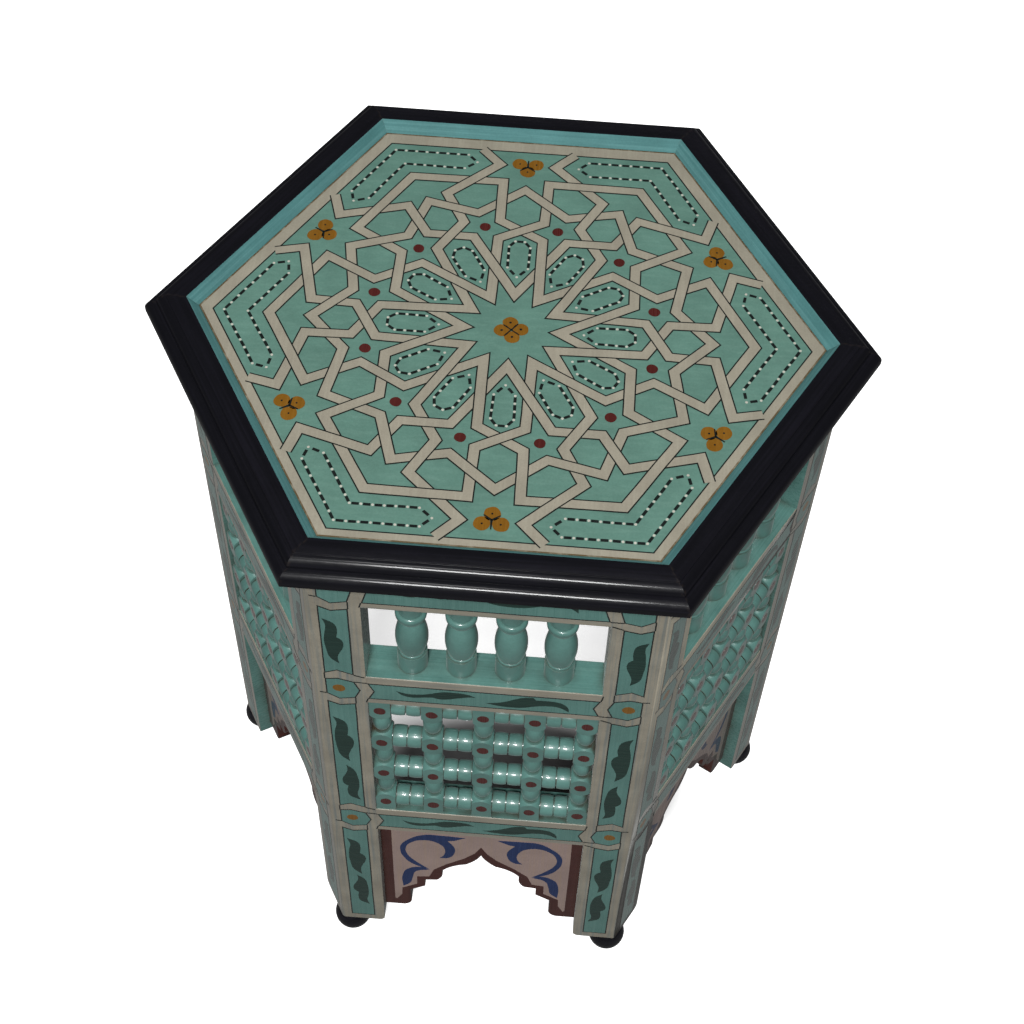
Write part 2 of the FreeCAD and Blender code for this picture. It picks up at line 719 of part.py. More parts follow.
SIDE_PIECES = (
    ("rim_moulding", make_rim),
    ("top_rail", make_top_rail),
    ("middle_rail", make_middle_rail),
    ("lower_rail", make_lower_rail),
    ("gallery_balusters", make_balusters),
    ("lattice_spindles", make_spindles),
    ("lattice_links", make_links),
    ("apron", make_apron),
)

make_top_panel()
make_glue_blocks()
make_feet()
for number in range(SIDES):
    make_post(f"corner_post_{number + 1}", TURN * (number - 1))
    for name, make in SIDE_PIECES:
        make(f"{name}_{number + 1}", TURN * number)
doc.recompute()

for item in doc.Objects:
    if "Invalid" in item.State or "Error" in item.State:
        raise RuntimeError(f"{item.Label} did not build: {item.State}")
for cut in pockets:
    if cut.BaseFeature.Shape.Volume - cut.Shape.Volume < TINY_VOLUME:
        raise RuntimeError(f"{cut.Label} cuts nothing")
for node in nodes:
    if node.Shape.isNull() or not node.Shape.isValid():
        raise RuntimeError(f"{node.Label} has no valid shape")

os.makedirs("parts", exist_ok=True)
for node in nodes:
    node.Shape.exportStep(f"parts/{node.Label}.step")
    print(f"{node.Label}: {len(node.Shape.Solids)} solids, {node.Shape.Volume / 1000:.1f} cm3")
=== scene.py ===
# %% [markdown]
# # A painted six-sided table
#
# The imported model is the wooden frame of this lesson: posts, rails, turned lattice, rim and feet already stand in
# the right place, in metres. What is left for Blender is what a painter and a photographer would do. Edges get
# eased, every piece gets its coats of paint, the pattern is drawn on top and sides, and the table is lit and seen.

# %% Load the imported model
import math
from itertools import combinations

import bmesh
import bpy
from mathutils import Color, Matrix, Vector, geometry, noise


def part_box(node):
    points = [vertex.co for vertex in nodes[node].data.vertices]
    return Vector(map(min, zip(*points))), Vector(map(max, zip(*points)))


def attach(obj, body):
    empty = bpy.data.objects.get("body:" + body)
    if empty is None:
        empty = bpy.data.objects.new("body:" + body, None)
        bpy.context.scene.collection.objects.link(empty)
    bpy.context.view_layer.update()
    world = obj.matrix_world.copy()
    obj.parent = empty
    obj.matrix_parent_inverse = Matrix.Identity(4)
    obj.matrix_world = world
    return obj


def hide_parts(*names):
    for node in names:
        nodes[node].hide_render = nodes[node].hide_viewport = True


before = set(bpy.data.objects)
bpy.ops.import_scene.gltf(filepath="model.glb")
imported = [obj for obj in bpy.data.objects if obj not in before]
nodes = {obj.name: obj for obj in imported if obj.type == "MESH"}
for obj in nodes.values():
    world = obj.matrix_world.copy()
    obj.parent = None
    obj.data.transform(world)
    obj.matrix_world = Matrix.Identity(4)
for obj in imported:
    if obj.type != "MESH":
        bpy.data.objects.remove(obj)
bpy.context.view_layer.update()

# %% [markdown]
# ## Where things are
#
# A drawing is easiest on a flat sheet, so each side has its own sheet: right, up and out of the face. One matrix
# carries a sheet onto side 1, and turns by sixty degrees carry it on to the others. The measures come from the
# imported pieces, so that the paint follows if a piece changes.

# %% Measures and sheets
MM = 0.001
SIDES = range(1, 7)
SIXTH_TURN = math.radians(60)
panel_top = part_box("top_panel")[1].z
face_out = -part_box("middle_rail_1")[0].y
arris_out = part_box("corner_post_2")[1].x
post_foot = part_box("corner_post_2")[0].z
rails = {
    name: (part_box(f"{name}_1")[0].z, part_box(f"{name}_1")[1].z)
    for name in ("top_rail", "middle_rail", "lower_rail")
}


def on_side(number, depth=0.0):
    """The matrix that carries a sheet of (right, up, out) onto one side, or to a depth behind its face."""
    upright = Matrix(((1, 0, 0, 0), (0, 0, -1, depth - face_out), (0, 1, 0, 0), (0, 0, 0, 1)))
    return Matrix.Rotation(SIXTH_TURN * (number - 1), 4, "Z") @ upright


print("panel top", round(panel_top, 4), "face", round(face_out, 4), "arris", round(arris_out, 4), rails)

# %% [markdown]
# ## Camera
#
# The photograph looks down on the table from in front, a little above head height, with a slightly tilted camera.
# A camera can be aimed by Euler angles, but a place, a point to look at and a roll are easier to read and change.
# Lamps are aimed in the same way further on.

# %% Camera
CAMERA_PLACE = Vector((0.0406, -0.8046, 1.4310))
CAMERA_AIM = Vector((0.0053, 0.0, 0.3452))
CAMERA_ROLL = math.radians(2.31)
CAMERA_LENS, SENSOR_WIDTH = 62.75, 36.0


def link_object(name, data):
    """Put a mesh, a camera or a lamp into the scene as an object."""
    made = bpy.data.objects.new(name, data)
    bpy.context.scene.collection.objects.link(made)
    return made


def aimed(place, aim):
    """The matrix that puts a camera or a lamp at a place and turns it to face a point."""
    turn = (Vector(aim) - Vector(place)).to_track_quat("-Z", "Y").to_matrix().to_4x4()
    return Matrix.Translation(place) @ turn


camera_data = bpy.data.cameras.new("camera")
camera_data.lens = CAMERA_LENS
camera_data.sensor_width = SENSOR_WIDTH
camera = link_object("camera", camera_data)
camera.matrix_world = aimed(CAMERA_PLACE, CAMERA_AIM) @ Matrix.Rotation(CAMERA_ROLL, 4, "Z")
bpy.context.scene.camera = camera
print("camera", camera.name, "lens", camera_data.lens)

# %% [markdown]
# ## Nodes in code
#
# Materials are built from nodes. A few small helpers keep that readable. The first adds a node and fills its inputs,
# where an input is either a plain value or another node's output. The others add one node each and give its result:
# a mix of two colours, a stretched range, a product, a product with a sum, and a cloudy noise.

# %% Node helpers
def tint(red, green, blue):
    """A colour as it looks on a screen, from 0 to 255, turned into Blender's linear colour."""
    return (*Color((red / 255, green / 255, blue / 255)).from_srgb_to_scene_linear(), 1.0)


def put(tree, kind, inputs=None, **settings):
    """Add a node. Settings are its own choices, inputs are values or outputs of other nodes."""
    made = tree.nodes.new(kind)
    for name, value in settings.items():
        setattr(made, name, value)
    for name, value in (inputs or {}).items():
        if isinstance(value, bpy.types.NodeSocket):
            tree.links.new(value, made.inputs[name])
        else:
            made.inputs[name].default_value = value
    return made


def mix_colours(tree, factor, first, second, way="MIX"):
    """Mix two colours, and give the output that holds the result."""
    made = put(tree, "ShaderNodeMix", {0: factor, 6: first, 7: second}, data_type="RGBA", blend_type=way)
    return made.outputs[2]


def ramp(tree, value, low, high, to_low=0.0, to_high=1.0, way="LINEAR"):
    """Stretch a range of values to another range, and hold it there."""
    levels = {"Value": value, "From Min": low, "From Max": high, "To Min": to_low, "To Max": to_high}
    return put(tree, "ShaderNodeMapRange", levels, interpolation_type=way).outputs[0]


def times(tree, first, second):
    return put(tree, "ShaderNodeMath", {0: first, 1: second}, operation="MULTIPLY").outputs[0]


def times_plus(tree, first, second, third):
    return put(tree, "ShaderNodeMath", {0: first, 1: second, 2: third}, operation="MULTIPLY_ADD").outputs[0]


def cloudy(tree, place, scale, detail, roughness=0.5):
    """A noise with so many clouds to a metre, broken up by finer ones."""
    inputs = {"Vector": place, "Scale": scale, "Detail": detail, "Roughness": roughness}
    return put(tree, "ShaderNodeTexNoise", inputs).outputs[0]


print("node helpers ready")

# %% [markdown]
# ## Floor and light
#
# The table stands on a plain pale floor. The floor should look white to the camera, but throw little light back at
# the sides, as a floor further away would. The Light Path node knows which kind of ray is asking, so each kind gets
# its own answer. Under the table a soft shade is painted on the floor, drawn by the distance from a place there: the
# camera sees a darker colour there and no glow.

# %% Floor
FLOOR_HALF = 6.0
# Place, squeeze and reach of the shade painted on the floor under the table.
PAINTED_SHADE_PLACE, PAINTED_SHADE_SQUEEZE = (0.010, -0.04, 0.0), (0.5, 1.0, 1.0)
PAINTED_SHADE_FROM, PAINTED_SHADE_TO = 0.050, 0.092
PAINTED_SHADE_LEVEL, CLEAR = 0.18, 0.97
BOUNCE_DULL, BOUNCE_MIRRORED = 0.06, 0.20
GLOW_FROM, GLOW_TO = 0.3, 1.2
GLOW_NEAR, GLOW_FAR = 0.70, 1.0


def new_material(name):
    """An empty material with its output node, ready for a shader."""
    material = bpy.data.materials.new(name)
    material.use_nodes = True
    material.node_tree.nodes.clear()
    return material, material.node_tree, material.node_tree.nodes.new("ShaderNodeOutputMaterial")


floor_finish, tree, output = new_material("pale_floor")
ray = put(tree, "ShaderNodeLightPath").outputs
here = put(tree, "ShaderNodeTexCoord").outputs["Object"]
squeezed = put(tree, "ShaderNodeVectorMath", {0: here, 1: PAINTED_SHADE_SQUEEZE}, operation="MULTIPLY").outputs[0]
away = put(tree, "ShaderNodeVectorMath", {0: squeezed, 1: PAINTED_SHADE_PLACE}, operation="DISTANCE").outputs["Value"]
# Painted shade under the table: near the place, the floor's colour for the camera drops and its glow goes out.
clear = ramp(tree, away, PAINTED_SHADE_FROM, PAINTED_SHADE_TO, way="SMOOTHSTEP")
bounce = ramp(tree, ray["Is Glossy Ray"], 0.0, 1.0, BOUNCE_DULL, BOUNCE_MIRRORED)
shown = ramp(tree, clear, 0.0, 1.0, PAINTED_SHADE_LEVEL, CLEAR)
chalk = put(tree, "ShaderNodeBsdfDiffuse", {"Color": ramp(tree, ray["Is Camera Ray"], 0.0, 1.0, bounce, shown)})
shine = times(tree, clear, ramp(tree, away, GLOW_FROM, GLOW_TO, GLOW_NEAR, GLOW_FAR))
glow = put(tree, "ShaderNodeEmission", {"Strength": times(tree, ray["Is Camera Ray"], shine)})
both = put(tree, "ShaderNodeAddShader", {0: chalk.outputs[0], 1: glow.outputs[0]})
tree.links.new(both.outputs[0], output.inputs["Surface"])

sheet = bmesh.new()
bmesh.ops.create_grid(sheet, x_segments=1, y_segments=1, size=FLOOR_HALF)
floor_mesh = bpy.data.meshes.new("floor")
sheet.to_mesh(floor_mesh)
sheet.free()
floor_mesh.materials.append(floor_finish)
floor = link_object("floor", floor_mesh)
print("floor of", 2 * FLOOR_HALF, "m")

# %% [markdown]
# A lamp in front and above gives the top its full colour and the sides a little less, and its mirror image is the
# bright line on rim and turnings. A weaker one stands higher. A broad one behind lights the far sides, and is left
# out of reflections. A dim dome of even light opens the shadows, and looks white to the camera as well.

# %% World and lamps
DOME_LIGHT, DOME_SEEN = 0.07, 1.0
LAMP_AIM = (0, 0, 0.3)

world = bpy.data.worlds.new("studio")
bpy.context.scene.world = world
world.use_nodes = True
world.node_tree.nodes.clear()
seen = put(world.node_tree, "ShaderNodeLightPath")
strength = ramp(world.node_tree, seen.outputs["Is Camera Ray"], 0.0, 1.0, DOME_LIGHT, DOME_SEEN)
dome = put(world.node_tree, "ShaderNodeBackground", {"Color": (1.0, 1.0, 1.0, 1.0), "Strength": strength})
world_output = world.node_tree.nodes.new("ShaderNodeOutputWorld")
world.node_tree.links.new(dome.outputs[0], world_output.inputs["Surface"])


def add_lamp(name, place, size, watts, mirrored=True):
    """A square lamp that faces the table, and may be left out of reflections."""
    data = bpy.data.lights.new(name, "AREA")
    data.size = size
    data.energy = watts
    lamp = link_object(name, data)
    lamp.matrix_world = aimed(place, LAMP_AIM)
    lamp.visible_glossy = mirrored


add_lamp("front_lamp", place=(-0.1, -2.46, 3.6), size=0.7, watts=162.0)
add_lamp("high_lamp", place=(-0.3, -1.0, 4.3), size=0.5, watts=14.0)
add_lamp("back_lamp", place=(0.4, 2.6, 0.8), size=1.2, watts=40.0, mirrored=False)
bpy.context.scene.view_settings.view_transform = "Standard"
print("dome and lamps:", [light.name for light in bpy.data.lights])

# %% [markdown]
# ## What hand-painted wood shows
#
# Three things keep old paint from looking like plastic. The brush leaves streaks along the wood. A brown glaze stays
# in the hollows, and the same darkening paints in the shade that falls in hollows and in the gaps between parts. On
# the edges the coat is rubbed thin. Each is a node group, so that every paint can use it with its own colours. Ambient
# occlusion finds the hollows, and looking from the inside it finds the edges.

# %% Brush marks, glaze with painted shade, and rubbed edges as node groups
CLOUDS, LUMPS, SPECKS = 38.0, 230.0, 700.0
SPECK_HEIGHT, LUMP_HEIGHT = 0.2, 2.0
GLAZE_AND_SHADE_PATCHES, RUBBED_PATCHES = 90.0, 160.0
AO_SAMPLES = 8


def new_group(name, inputs, outputs):
    """A shader node group with named sockets: its tree, its inputs and its outputs."""
    tree = bpy.data.node_groups.new(name, "ShaderNodeTree")
    for label, kind in inputs.items():
        tree.interface.new_socket(label, in_out="INPUT", socket_type="NodeSocket" + kind)
    for label, kind in outputs.items():
        tree.interface.new_socket(label, in_out="OUTPUT", socket_type="NodeSocket" + kind)
    return tree, tree.nodes.new("NodeGroupInput").outputs, tree.nodes.new("NodeGroupOutput").inputs


brush_marks, given, gives = new_group(
    "brush_marks",
    {"Place": "Vector", "Paint": "Color", "Streak": "Color", "Strokes": "Vector", "Streaking": "Float",
     "Mottling": "Float"},
    {"Colour": "Color", "Stroke": "Float", "Height": "Float"},
)
along = put(brush_marks, "ShaderNodeVectorMath", {0: given["Place"], 1: given["Strokes"]}, operation="MULTIPLY")
stroke = cloudy(brush_marks, along.outputs[0], scale=1.0, detail=5.0, roughness=0.62)
cloud = cloudy(brush_marks, given["Place"], CLOUDS, detail=3.0)
speck = cloudy(brush_marks, given["Place"], SPECKS, detail=2.0)
lump = cloudy(brush_marks, given["Place"], LUMPS, detail=1.0)
part = times(brush_marks, ramp(brush_marks, stroke, 0.46, 0.70), given["Streaking"])
streaked = mix_colours(brush_marks, part, given["Paint"], given["Streak"])
mottle = times_plus(brush_marks, ramp(brush_marks, cloud, 0.30, 0.70, -1.0, 1.0), given["Mottling"], 1.0)
tone = times(brush_marks, mottle, ramp(brush_marks, speck, 0.30, 0.70, 0.95, 1.05))
brush_marks.links.new(mix_colours(brush_marks, 1.0, streaked, tone, "MULTIPLY"), gives["Colour"])
brush_marks.links.new(stroke, gives["Stroke"])
height = times_plus(brush_marks, speck, SPECK_HEIGHT, stroke)
height = times_plus(brush_marks, lump, LUMP_HEIGHT, height)
brush_marks.links.new(height, gives["Height"])

# Glaze and painted shade: ambient occlusion darkens hollows and the gaps between parts towards a brown colour.
glaze_and_shade_in_hollows, given, gives = new_group(
    "glaze_and_shade_in_hollows",
    {"Place": "Vector", "Paint": "Color", "Glaze and shade": "Color", "Reach": "Float", "Strength": "Float"},
    {"Colour": "Color"},
)
sky = put(glaze_and_shade_in_hollows, "ShaderNodeAmbientOcclusion", {"Distance": given["Reach"]}, samples=AO_SAMPLES)
patch = cloudy(glaze_and_shade_in_hollows, given["Place"], GLAZE_AND_SHADE_PATCHES, detail=4.0)
uneven = ramp(glaze_and_shade_in_hollows, patch, 0.30, 0.65, 0.35, 1.0)
hollow = times(glaze_and_shade_in_hollows, ramp(glaze_and_shade_in_hollows, sky.outputs["AO"], 0.80, 0.25), given["Strength"])
glazed_and_shaded = mix_colours(glaze_and_shade_in_hollows, times(glaze_and_shade_in_hollows, hollow, uneven), given["Paint"], given["Glaze and shade"])
glaze_and_shade_in_hollows.links.new(glazed_and_shaded, gives["Colour"])

rubbed_edges, given, gives = new_group(
    "rubbed_edges",
    {"Place": "Vector", "Paint": "Color", "Under": "Color", "Reach": "Float", "Strength": "Float"},
    {"Colour": "Color"},
)
sky = put(rubbed_edges, "ShaderNodeAmbientOcclusion", {"Distance": given["Reach"]}, samples=AO_SAMPLES, inside=True)
patch = cloudy(rubbed_edges, given["Place"], RUBBED_PATCHES, detail=6.0, roughness=0.7)
edge = ramp(rubbed_edges, sky.outputs["AO"], 0.80, 0.45)
rub = times(rubbed_edges, edge, ramp(rubbed_edges, patch, 0.50, 0.62))
rub = times(rubbed_edges, rub, given["Strength"])
rubbed_edges.links.new(mix_colours(rubbed_edges, rub, given["Paint"], given["Under"]), gives["Colour"])
print("groups:", [group.name for group in bpy.data.node_groups])

# %% [markdown]
# ## The paints
#
# The palette is small: a soft green for the top and a sea green for the sides, a cream for the straps, a turquoise for
# the sloping lip, black, dark leaf green, red, orange, pink, brown and blue, and a stain in the joint of the lip. All
# are brushed by hand under a varnish, and a film of dust greys the sides at a flat angle. One function mixes such a
# paint from the groups. Flat drawings carry their own place on the sheet in an attribute, so that strokes follow the
# wood on all six sides, and turned pieces use the place in the room.

# %% A brushed paint
UNDER_COAT = tint(118, 101, 84)
# The brown of the glaze, which also stands in for the shade in hollows and gaps.
BROWN_GLAZE_AND_SHADE = tint(62, 48, 34)
DUST = tint(190, 190, 186)
DUST_ROUGHNESS, VARNISH_ROUGHNESS = 0.35, 0.10
EDGE_REACH, RELIEF_DEPTH = 0.0025, 0.0006


def paint(name, colour, streak, strokes, streaking=0.5, mottling=0.09, glaze_and_shade=0.6, glaze_and_shade_reach=0.006, rub=0.5,
          rough=(0.22, 0.34), gloss=0.4, varnish=0.0, dust=0.22, relief=0.12, drawn=True):
    """A brushed paint. Strokes says how many brush marks there are to a metre, across, up and out."""
    material, tree, output = new_material(name)
    if drawn:
        place = put(tree, "ShaderNodeAttribute", attribute_name="drawn_at").outputs["Vector"]
    else:
        place = put(tree, "ShaderNodeTexCoord").outputs["Object"]
    brushed = put(tree, "ShaderNodeGroup", {
        "Place": place, "Paint": colour, "Streak": streak, "Strokes": strokes, "Streaking": streaking,
        "Mottling": mottling,
    }, node_tree=brush_marks).outputs
    edged = put(tree, "ShaderNodeGroup", {
        "Place": place, "Paint": brushed["Colour"], "Under": UNDER_COAT, "Reach": EDGE_REACH, "Strength": rub,
    }, node_tree=rubbed_edges).outputs
    # Glaze and painted shade in the hollows.
    glazed_and_shaded = put(tree, "ShaderNodeGroup", {
        "Place": place, "Paint": edged["Colour"], "Glaze and shade": BROWN_GLAZE_AND_SHADE, "Reach": glaze_and_shade_reach, "Strength": glaze_and_shade,
    }, node_tree=glaze_and_shade_in_hollows).outputs
    bump = put(tree, "ShaderNodeBump", {"Strength": relief, "Distance": RELIEF_DEPTH, "Height": brushed["Height"]})
    shader = put(tree, "ShaderNodeBsdfPrincipled", {
        "Base Color": glazed_and_shaded["Colour"],
        "Roughness": ramp(tree, brushed["Stroke"], 0.30, 0.70, *rough),
        "Normal": bump.outputs[0],
        "Specular IOR Level": gloss,
        "Coat Weight": varnish,
        "Coat Roughness": VARNISH_ROUGHNESS,
        "Sheen Weight": dust,
        "Sheen Roughness": DUST_ROUGHNESS,
        "Sheen Tint": DUST,
    })
    tree.links.new(shader.outputs[0], output.inputs["Surface"])
    return material


print("paint helper ready")

# %% Mix the paints
UPRIGHT, LENGTHWISE = (420.0, 9.0, 420.0), (9.0, 420.0, 420.0)
ROUND, WIDE = (120.0, 120.0, 420.0), (60.0, 240.0, 60.0)
SMUDGED, GRAIN = (130.0, 130.0, 130.0), (40.0, 40.0, 500.0)
MATT, DRY = (0.40, 0.55), (0.6, 0.8)
GREEN, GREEN_STREAK = tint(93, 130, 118), tint(112, 148, 135)
SEA_GREEN, SEA_GREEN_STREAK = tint(88, 129, 122), tint(106, 146, 138)
CREAM, CREAM_STREAK, PALE_STREAK = tint(152, 146, 131), tint(112, 122, 122), tint(164, 160, 143)
BLACK, BLACK_STREAK = tint(14, 14, 19), tint(26, 25, 34)
on_top = dict(glaze_and_shade=0.0, rub=0.0, rough=MATT, gloss=0.3, dust=0.0)
on_sides = dict(glaze_and_shade=0.0, rub=0.0, gloss=0.3)
on_aprons = dict(glaze_and_shade=0.0, rub=0.0, gloss=0.15, dust=0.05)
green_top = paint("green_top", GREEN, GREEN_STREAK, WIDE, 0.35, glaze_and_shade=0.9, glaze_and_shade_reach=0.008, rough=MATT, gloss=0.3,
                  dust=0.0, drawn=False)
# The turnings get the widest and strongest darkening: glaze and painted shade between drums, blocks and rings.
green_turned = paint("green_turned", SEA_GREEN, SEA_GREEN_STREAK, ROUND, 0.2, 0.16, glaze_and_shade=1.0, glaze_and_shade_reach=0.016,
                     rough=(0.30, 0.45), varnish=0.45, drawn=False)
green_frame = paint("green_frame", SEA_GREEN, SEA_GREEN_STREAK, LENGTHWISE, 0.45, 0.2, glaze_and_shade=0.9, glaze_and_shade_reach=0.012)
green_field = paint("green_field", SEA_GREEN, SEA_GREEN_STREAK, UPRIGHT, 0.45, **on_sides)
cream_top = paint("cream_top", CREAM, PALE_STREAK, UPRIGHT, 0.5, **on_top)
cream_border = paint("cream_border", CREAM, PALE_STREAK, UPRIGHT, 0.5, glaze_and_shade=0.9, rub=0.0, rough=MATT, gloss=0.3,
                     dust=0.0)
cream_post = paint("cream_post", CREAM, CREAM_STREAK, UPRIGHT, 0.9, 0.14)
cream_rail = paint("cream_rail", CREAM, CREAM_STREAK, LENGTHWISE, 0.6)
stain = paint("stain", tint(96, 80, 56), tint(146, 138, 120), SMUDGED, 1.0, **on_top)
turquoise = paint("turquoise", tint(76, 122, 122), tint(98, 144, 144), LENGTHWISE, 0.7, glaze_and_shade=0.9, rough=(0.5, 0.65),
                  gloss=0.05, dust=0.0)
black = paint("black", BLACK, BLACK_STREAK, LENGTHWISE, 0.5, glaze_and_shade=0.0, rub=0.1, rough=(0.45, 0.55), gloss=0.12,
              varnish=0.2, dust=0.0, relief=0.2)
black_turned = paint("black_turned", BLACK, BLACK_STREAK, ROUND, 0.5, glaze_and_shade=0.0, rub=0.2, rough=(0.24, 0.34),
                     gloss=0.4, dust=0.0, drawn=False)
line_top = paint("line_top", tint(20, 25, 24), tint(34, 40, 38), UPRIGHT, 0.5, **on_top)
line = paint("line", tint(26, 31, 30), tint(42, 48, 46), UPRIGHT, 0.5, **on_sides)
leaf = paint("leaf", tint(24, 50, 44), tint(38, 68, 60), LENGTHWISE, 0.6, **on_sides)
red = paint("red", tint(76, 31, 28), tint(92, 42, 36), UPRIGHT, 0.5, **on_sides)
orange = paint("orange", tint(124, 84, 24), tint(142, 100, 38), UPRIGHT, 0.5, **on_sides)
white = paint("white", tint(186, 186, 174), tint(206, 206, 196), UPRIGHT, 0.4, **on_top)
pink = paint("pink", tint(160, 140, 134), tint(166, 144, 124), UPRIGHT, 0.6, **on_aprons)
brown = paint("brown", tint(76, 44, 40), tint(62, 35, 33), UPRIGHT, 0.6, glaze_and_shade=0.5, gloss=0.15, dust=0.05)
blue = paint("blue", tint(35, 51, 92), tint(52, 70, 112), UPRIGHT, 0.5, **on_aprons)
bare_wood = paint("bare_wood", tint(150, 122, 92), tint(122, 94, 66), GRAIN, 0.8, rub=0.0, rough=DRY, drawn=False)
# Inward faces: a darker wood, its darkness partly painted shade for the inside of the table.
inside_wood_and_shade = paint("inside_wood_and_shade", tint(104, 86, 68), tint(82, 66, 52), LENGTHWISE, 0.8, rub=0.0, rough=DRY)
print("paints:", len(bpy.data.materials))

# %% [markdown]
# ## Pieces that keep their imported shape
#
# The panel, the turned balusters, spindles and links, the feet and the glue blocks are already right, down to the
# smooth normals of the turned beads. They only get their paint.

# %% Paint the panel and the turned pieces
finishes = {"top_panel": green_top, "ball_feet": black_turned, "glue_blocks": bare_wood}
for number in SIDES:
    for turned in ("gallery_balusters", "lattice_spindles", "lattice_links"):
        finishes[f"{turned}_{number}"] = green_turned
for node, finish in finishes.items():
    for place in nodes[node].material_slots:
        place.material = finish
print("dressed", len(finishes), "packed pieces")

# %% [markdown]
# ## Posts, rails, aprons and rim with eased edges
#
# A planed edge is never razor sharp, and a brush rounds it more. Each flat piece is copied, its loose triangles are
# merged into whole faces, and the edges that a hand can touch get a small bevel. The faces are then sorted into
# paints by where they look: the show face in cream, openings in green, the inside in a darker wood that also paints
# in the shade inside the table.

# %% Copy a imported piece and ease its edges
SAME_PLACE = 1e-6
SLIVER = 0.01 * MM
FLAT = math.radians(0.5)


def copy_of(node):
    """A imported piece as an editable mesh, with its triangles merged into whole faces."""
    mesh = bmesh.new()
    mesh.from_mesh(nodes[node].data)
    bmesh.ops.remove_doubles(mesh, verts=mesh.verts, dist=SAME_PLACE)
    bmesh.ops.dissolve_limit(mesh, angle_limit=FLAT, verts=mesh.verts, edges=mesh.edges)
    return mesh


def ease(mesh, edges, width, segments=2):
    """Round off some edges."""
    if edges:
        bmesh.ops.bevel(mesh, geom=edges, offset=width, offset_type="OFFSET", affect="EDGES", segments=segments,
                        profile=0.5, material=-1, clamp_overlap=True)


def note_place(mesh, sheet):
    """Write every point's place on a sheet into the mesh, for the brush strokes to follow."""
    layer = mesh.verts.layers.float_vector.new("drawn_at")
    for vert in mesh.verts:
        vert[layer] = sheet @ vert.co


def make_piece(name, mesh, paints):
    """Turn a finished mesh into a piece that belongs to the table."""
    bmesh.ops.dissolve_degenerate(mesh, dist=SLIVER, edges=mesh.edges)
    bmesh.ops.recalc_face_normals(mesh, faces=mesh.faces)
    data = bpy.data.meshes.new(name)
    mesh.to_mesh(data)
    mesh.free()
    if "custom_normal" in data.attributes:
        data.attributes.remove(data.attributes["custom_normal"])
    for finish in paints:
        data.materials.append(finish)
    piece = link_object(name, data)
    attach(piece, "root")
    return piece


def smooth_rounds(piece, angle):
    """Shade rounds smoothly, and keep an edge where the faces turn by more than an angle."""
    piece.data.shade_smooth()
    piece.data.set_sharp_from_angle(angle=math.radians(angle))


def near(value, target, slack=0.05 * MM):
    return abs(value - target) < slack


print("copying helpers ready")

# %% Posts
POST_PAINTS = (green_frame, cream_post, inside_wood_and_shade)
ARRIS_ROUND, EDGE_ROUND = 1.6 * MM, 0.6 * MM
SHOWN, OUTWARD, INWARD = 0.3, 0.5, -0.6
first_sheet = on_side(1).inverted()
post_places = [first_sheet @ v.co for v in nodes["corner_post_1"].data.vertices]
opening = min(place.x for place in post_places if near(place.z, 0))


def on_arris(edge):
    return all(near(math.hypot(v.co.x, v.co.y), arris_out) for v in edge.verts)


def by_opening(edge, sheets):
    """Whether an edge stands on one of the show faces, beside the opening."""
    return any(
        all(near((sheet @ v.co).z, 0) and near(abs((sheet @ v.co).x), opening) for v in edge.verts)
        for sheet in sheets
    )


for number in SIDES:
    mesh = copy_of(f"corner_post_{number}")
    sheets = (on_side(number).inverted(), on_side(number % len(SIDES) + 1).inverted())
    ease(mesh, [e for e in mesh.edges if on_arris(e)], ARRIS_ROUND, segments=3)
    ease(mesh, [e for e in mesh.edges if by_opening(e, sheets)], EDGE_ROUND)
    bmesh.ops.recalc_face_normals(mesh, faces=mesh.faces)
    for face in mesh.faces:
        looks = max((sheet.to_3x3() @ face.normal).z for sheet in sheets)
        middle = face.calc_center_median()
        out = Vector((middle.x, middle.y, 0)).normalized().dot(face.normal)
        face.material_index = 1 if looks > SHOWN and out > OUTWARD else 2 if out < INWARD else 0
    note_place(mesh, sheets[0])
    post = make_piece(f"post_{number}", mesh, POST_PAINTS)
    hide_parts(f"corner_post_{number}")
print("post faces:", len(post.data.polygons))

# %% Rails
RAIL_PAINTS = (green_frame, cream_rail, inside_wood_and_shade)
for number in SIDES:
    sheet = on_side(number).inverted()
    for rail in rails:
        mesh = copy_of(f"{rail}_{number}")
        level_edges = []
        for edge in mesh.edges:
            a, b = (sheet @ v.co for v in edge.verts)
            if near(a.z, 0) and near(b.z, 0) and abs(a.y - b.y) < MM:
                level_edges.append(edge)
        ease(mesh, level_edges, EDGE_ROUND)
        bmesh.ops.recalc_face_normals(mesh, faces=mesh.faces)
        for face in mesh.faces:
            out = (sheet.to_3x3() @ face.normal).z
            face.material_index = 1 if out > SHOWN else 2 if out < INWARD else 0
        note_place(mesh, sheet)
        piece = make_piece(f"painted_{rail}_{number}", mesh, RAIL_PAINTS)
        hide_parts(f"{rail}_{number}")
print("rail faces:", len(piece.data.polygons))

# %% Aprons
APRON_ROUND = 0.5 * MM
apron_front = max((first_sheet @ v.co).z for v in nodes["apron_1"].data.vertices)
for number in SIDES:
    sheet = on_side(number).inverted()
    mesh = copy_of(f"apron_{number}")
    ease(mesh, [e for e in mesh.edges if all(near((sheet @ v.co).z, apron_front) for v in e.verts)], APRON_ROUND)
    bmesh.ops.recalc_face_normals(mesh, faces=mesh.faces)
    for face in mesh.faces:
        face.material_index = 1 if (sheet.to_3x3() @ face.normal).z < INWARD else 0
    note_place(mesh, sheet)
    piece = make_piece(f"painted_apron_{number}", mesh, (brown, inside_wood_and_shade))
    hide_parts(f"apron_{number}")
print("apron face at", round(apron_front, 4))

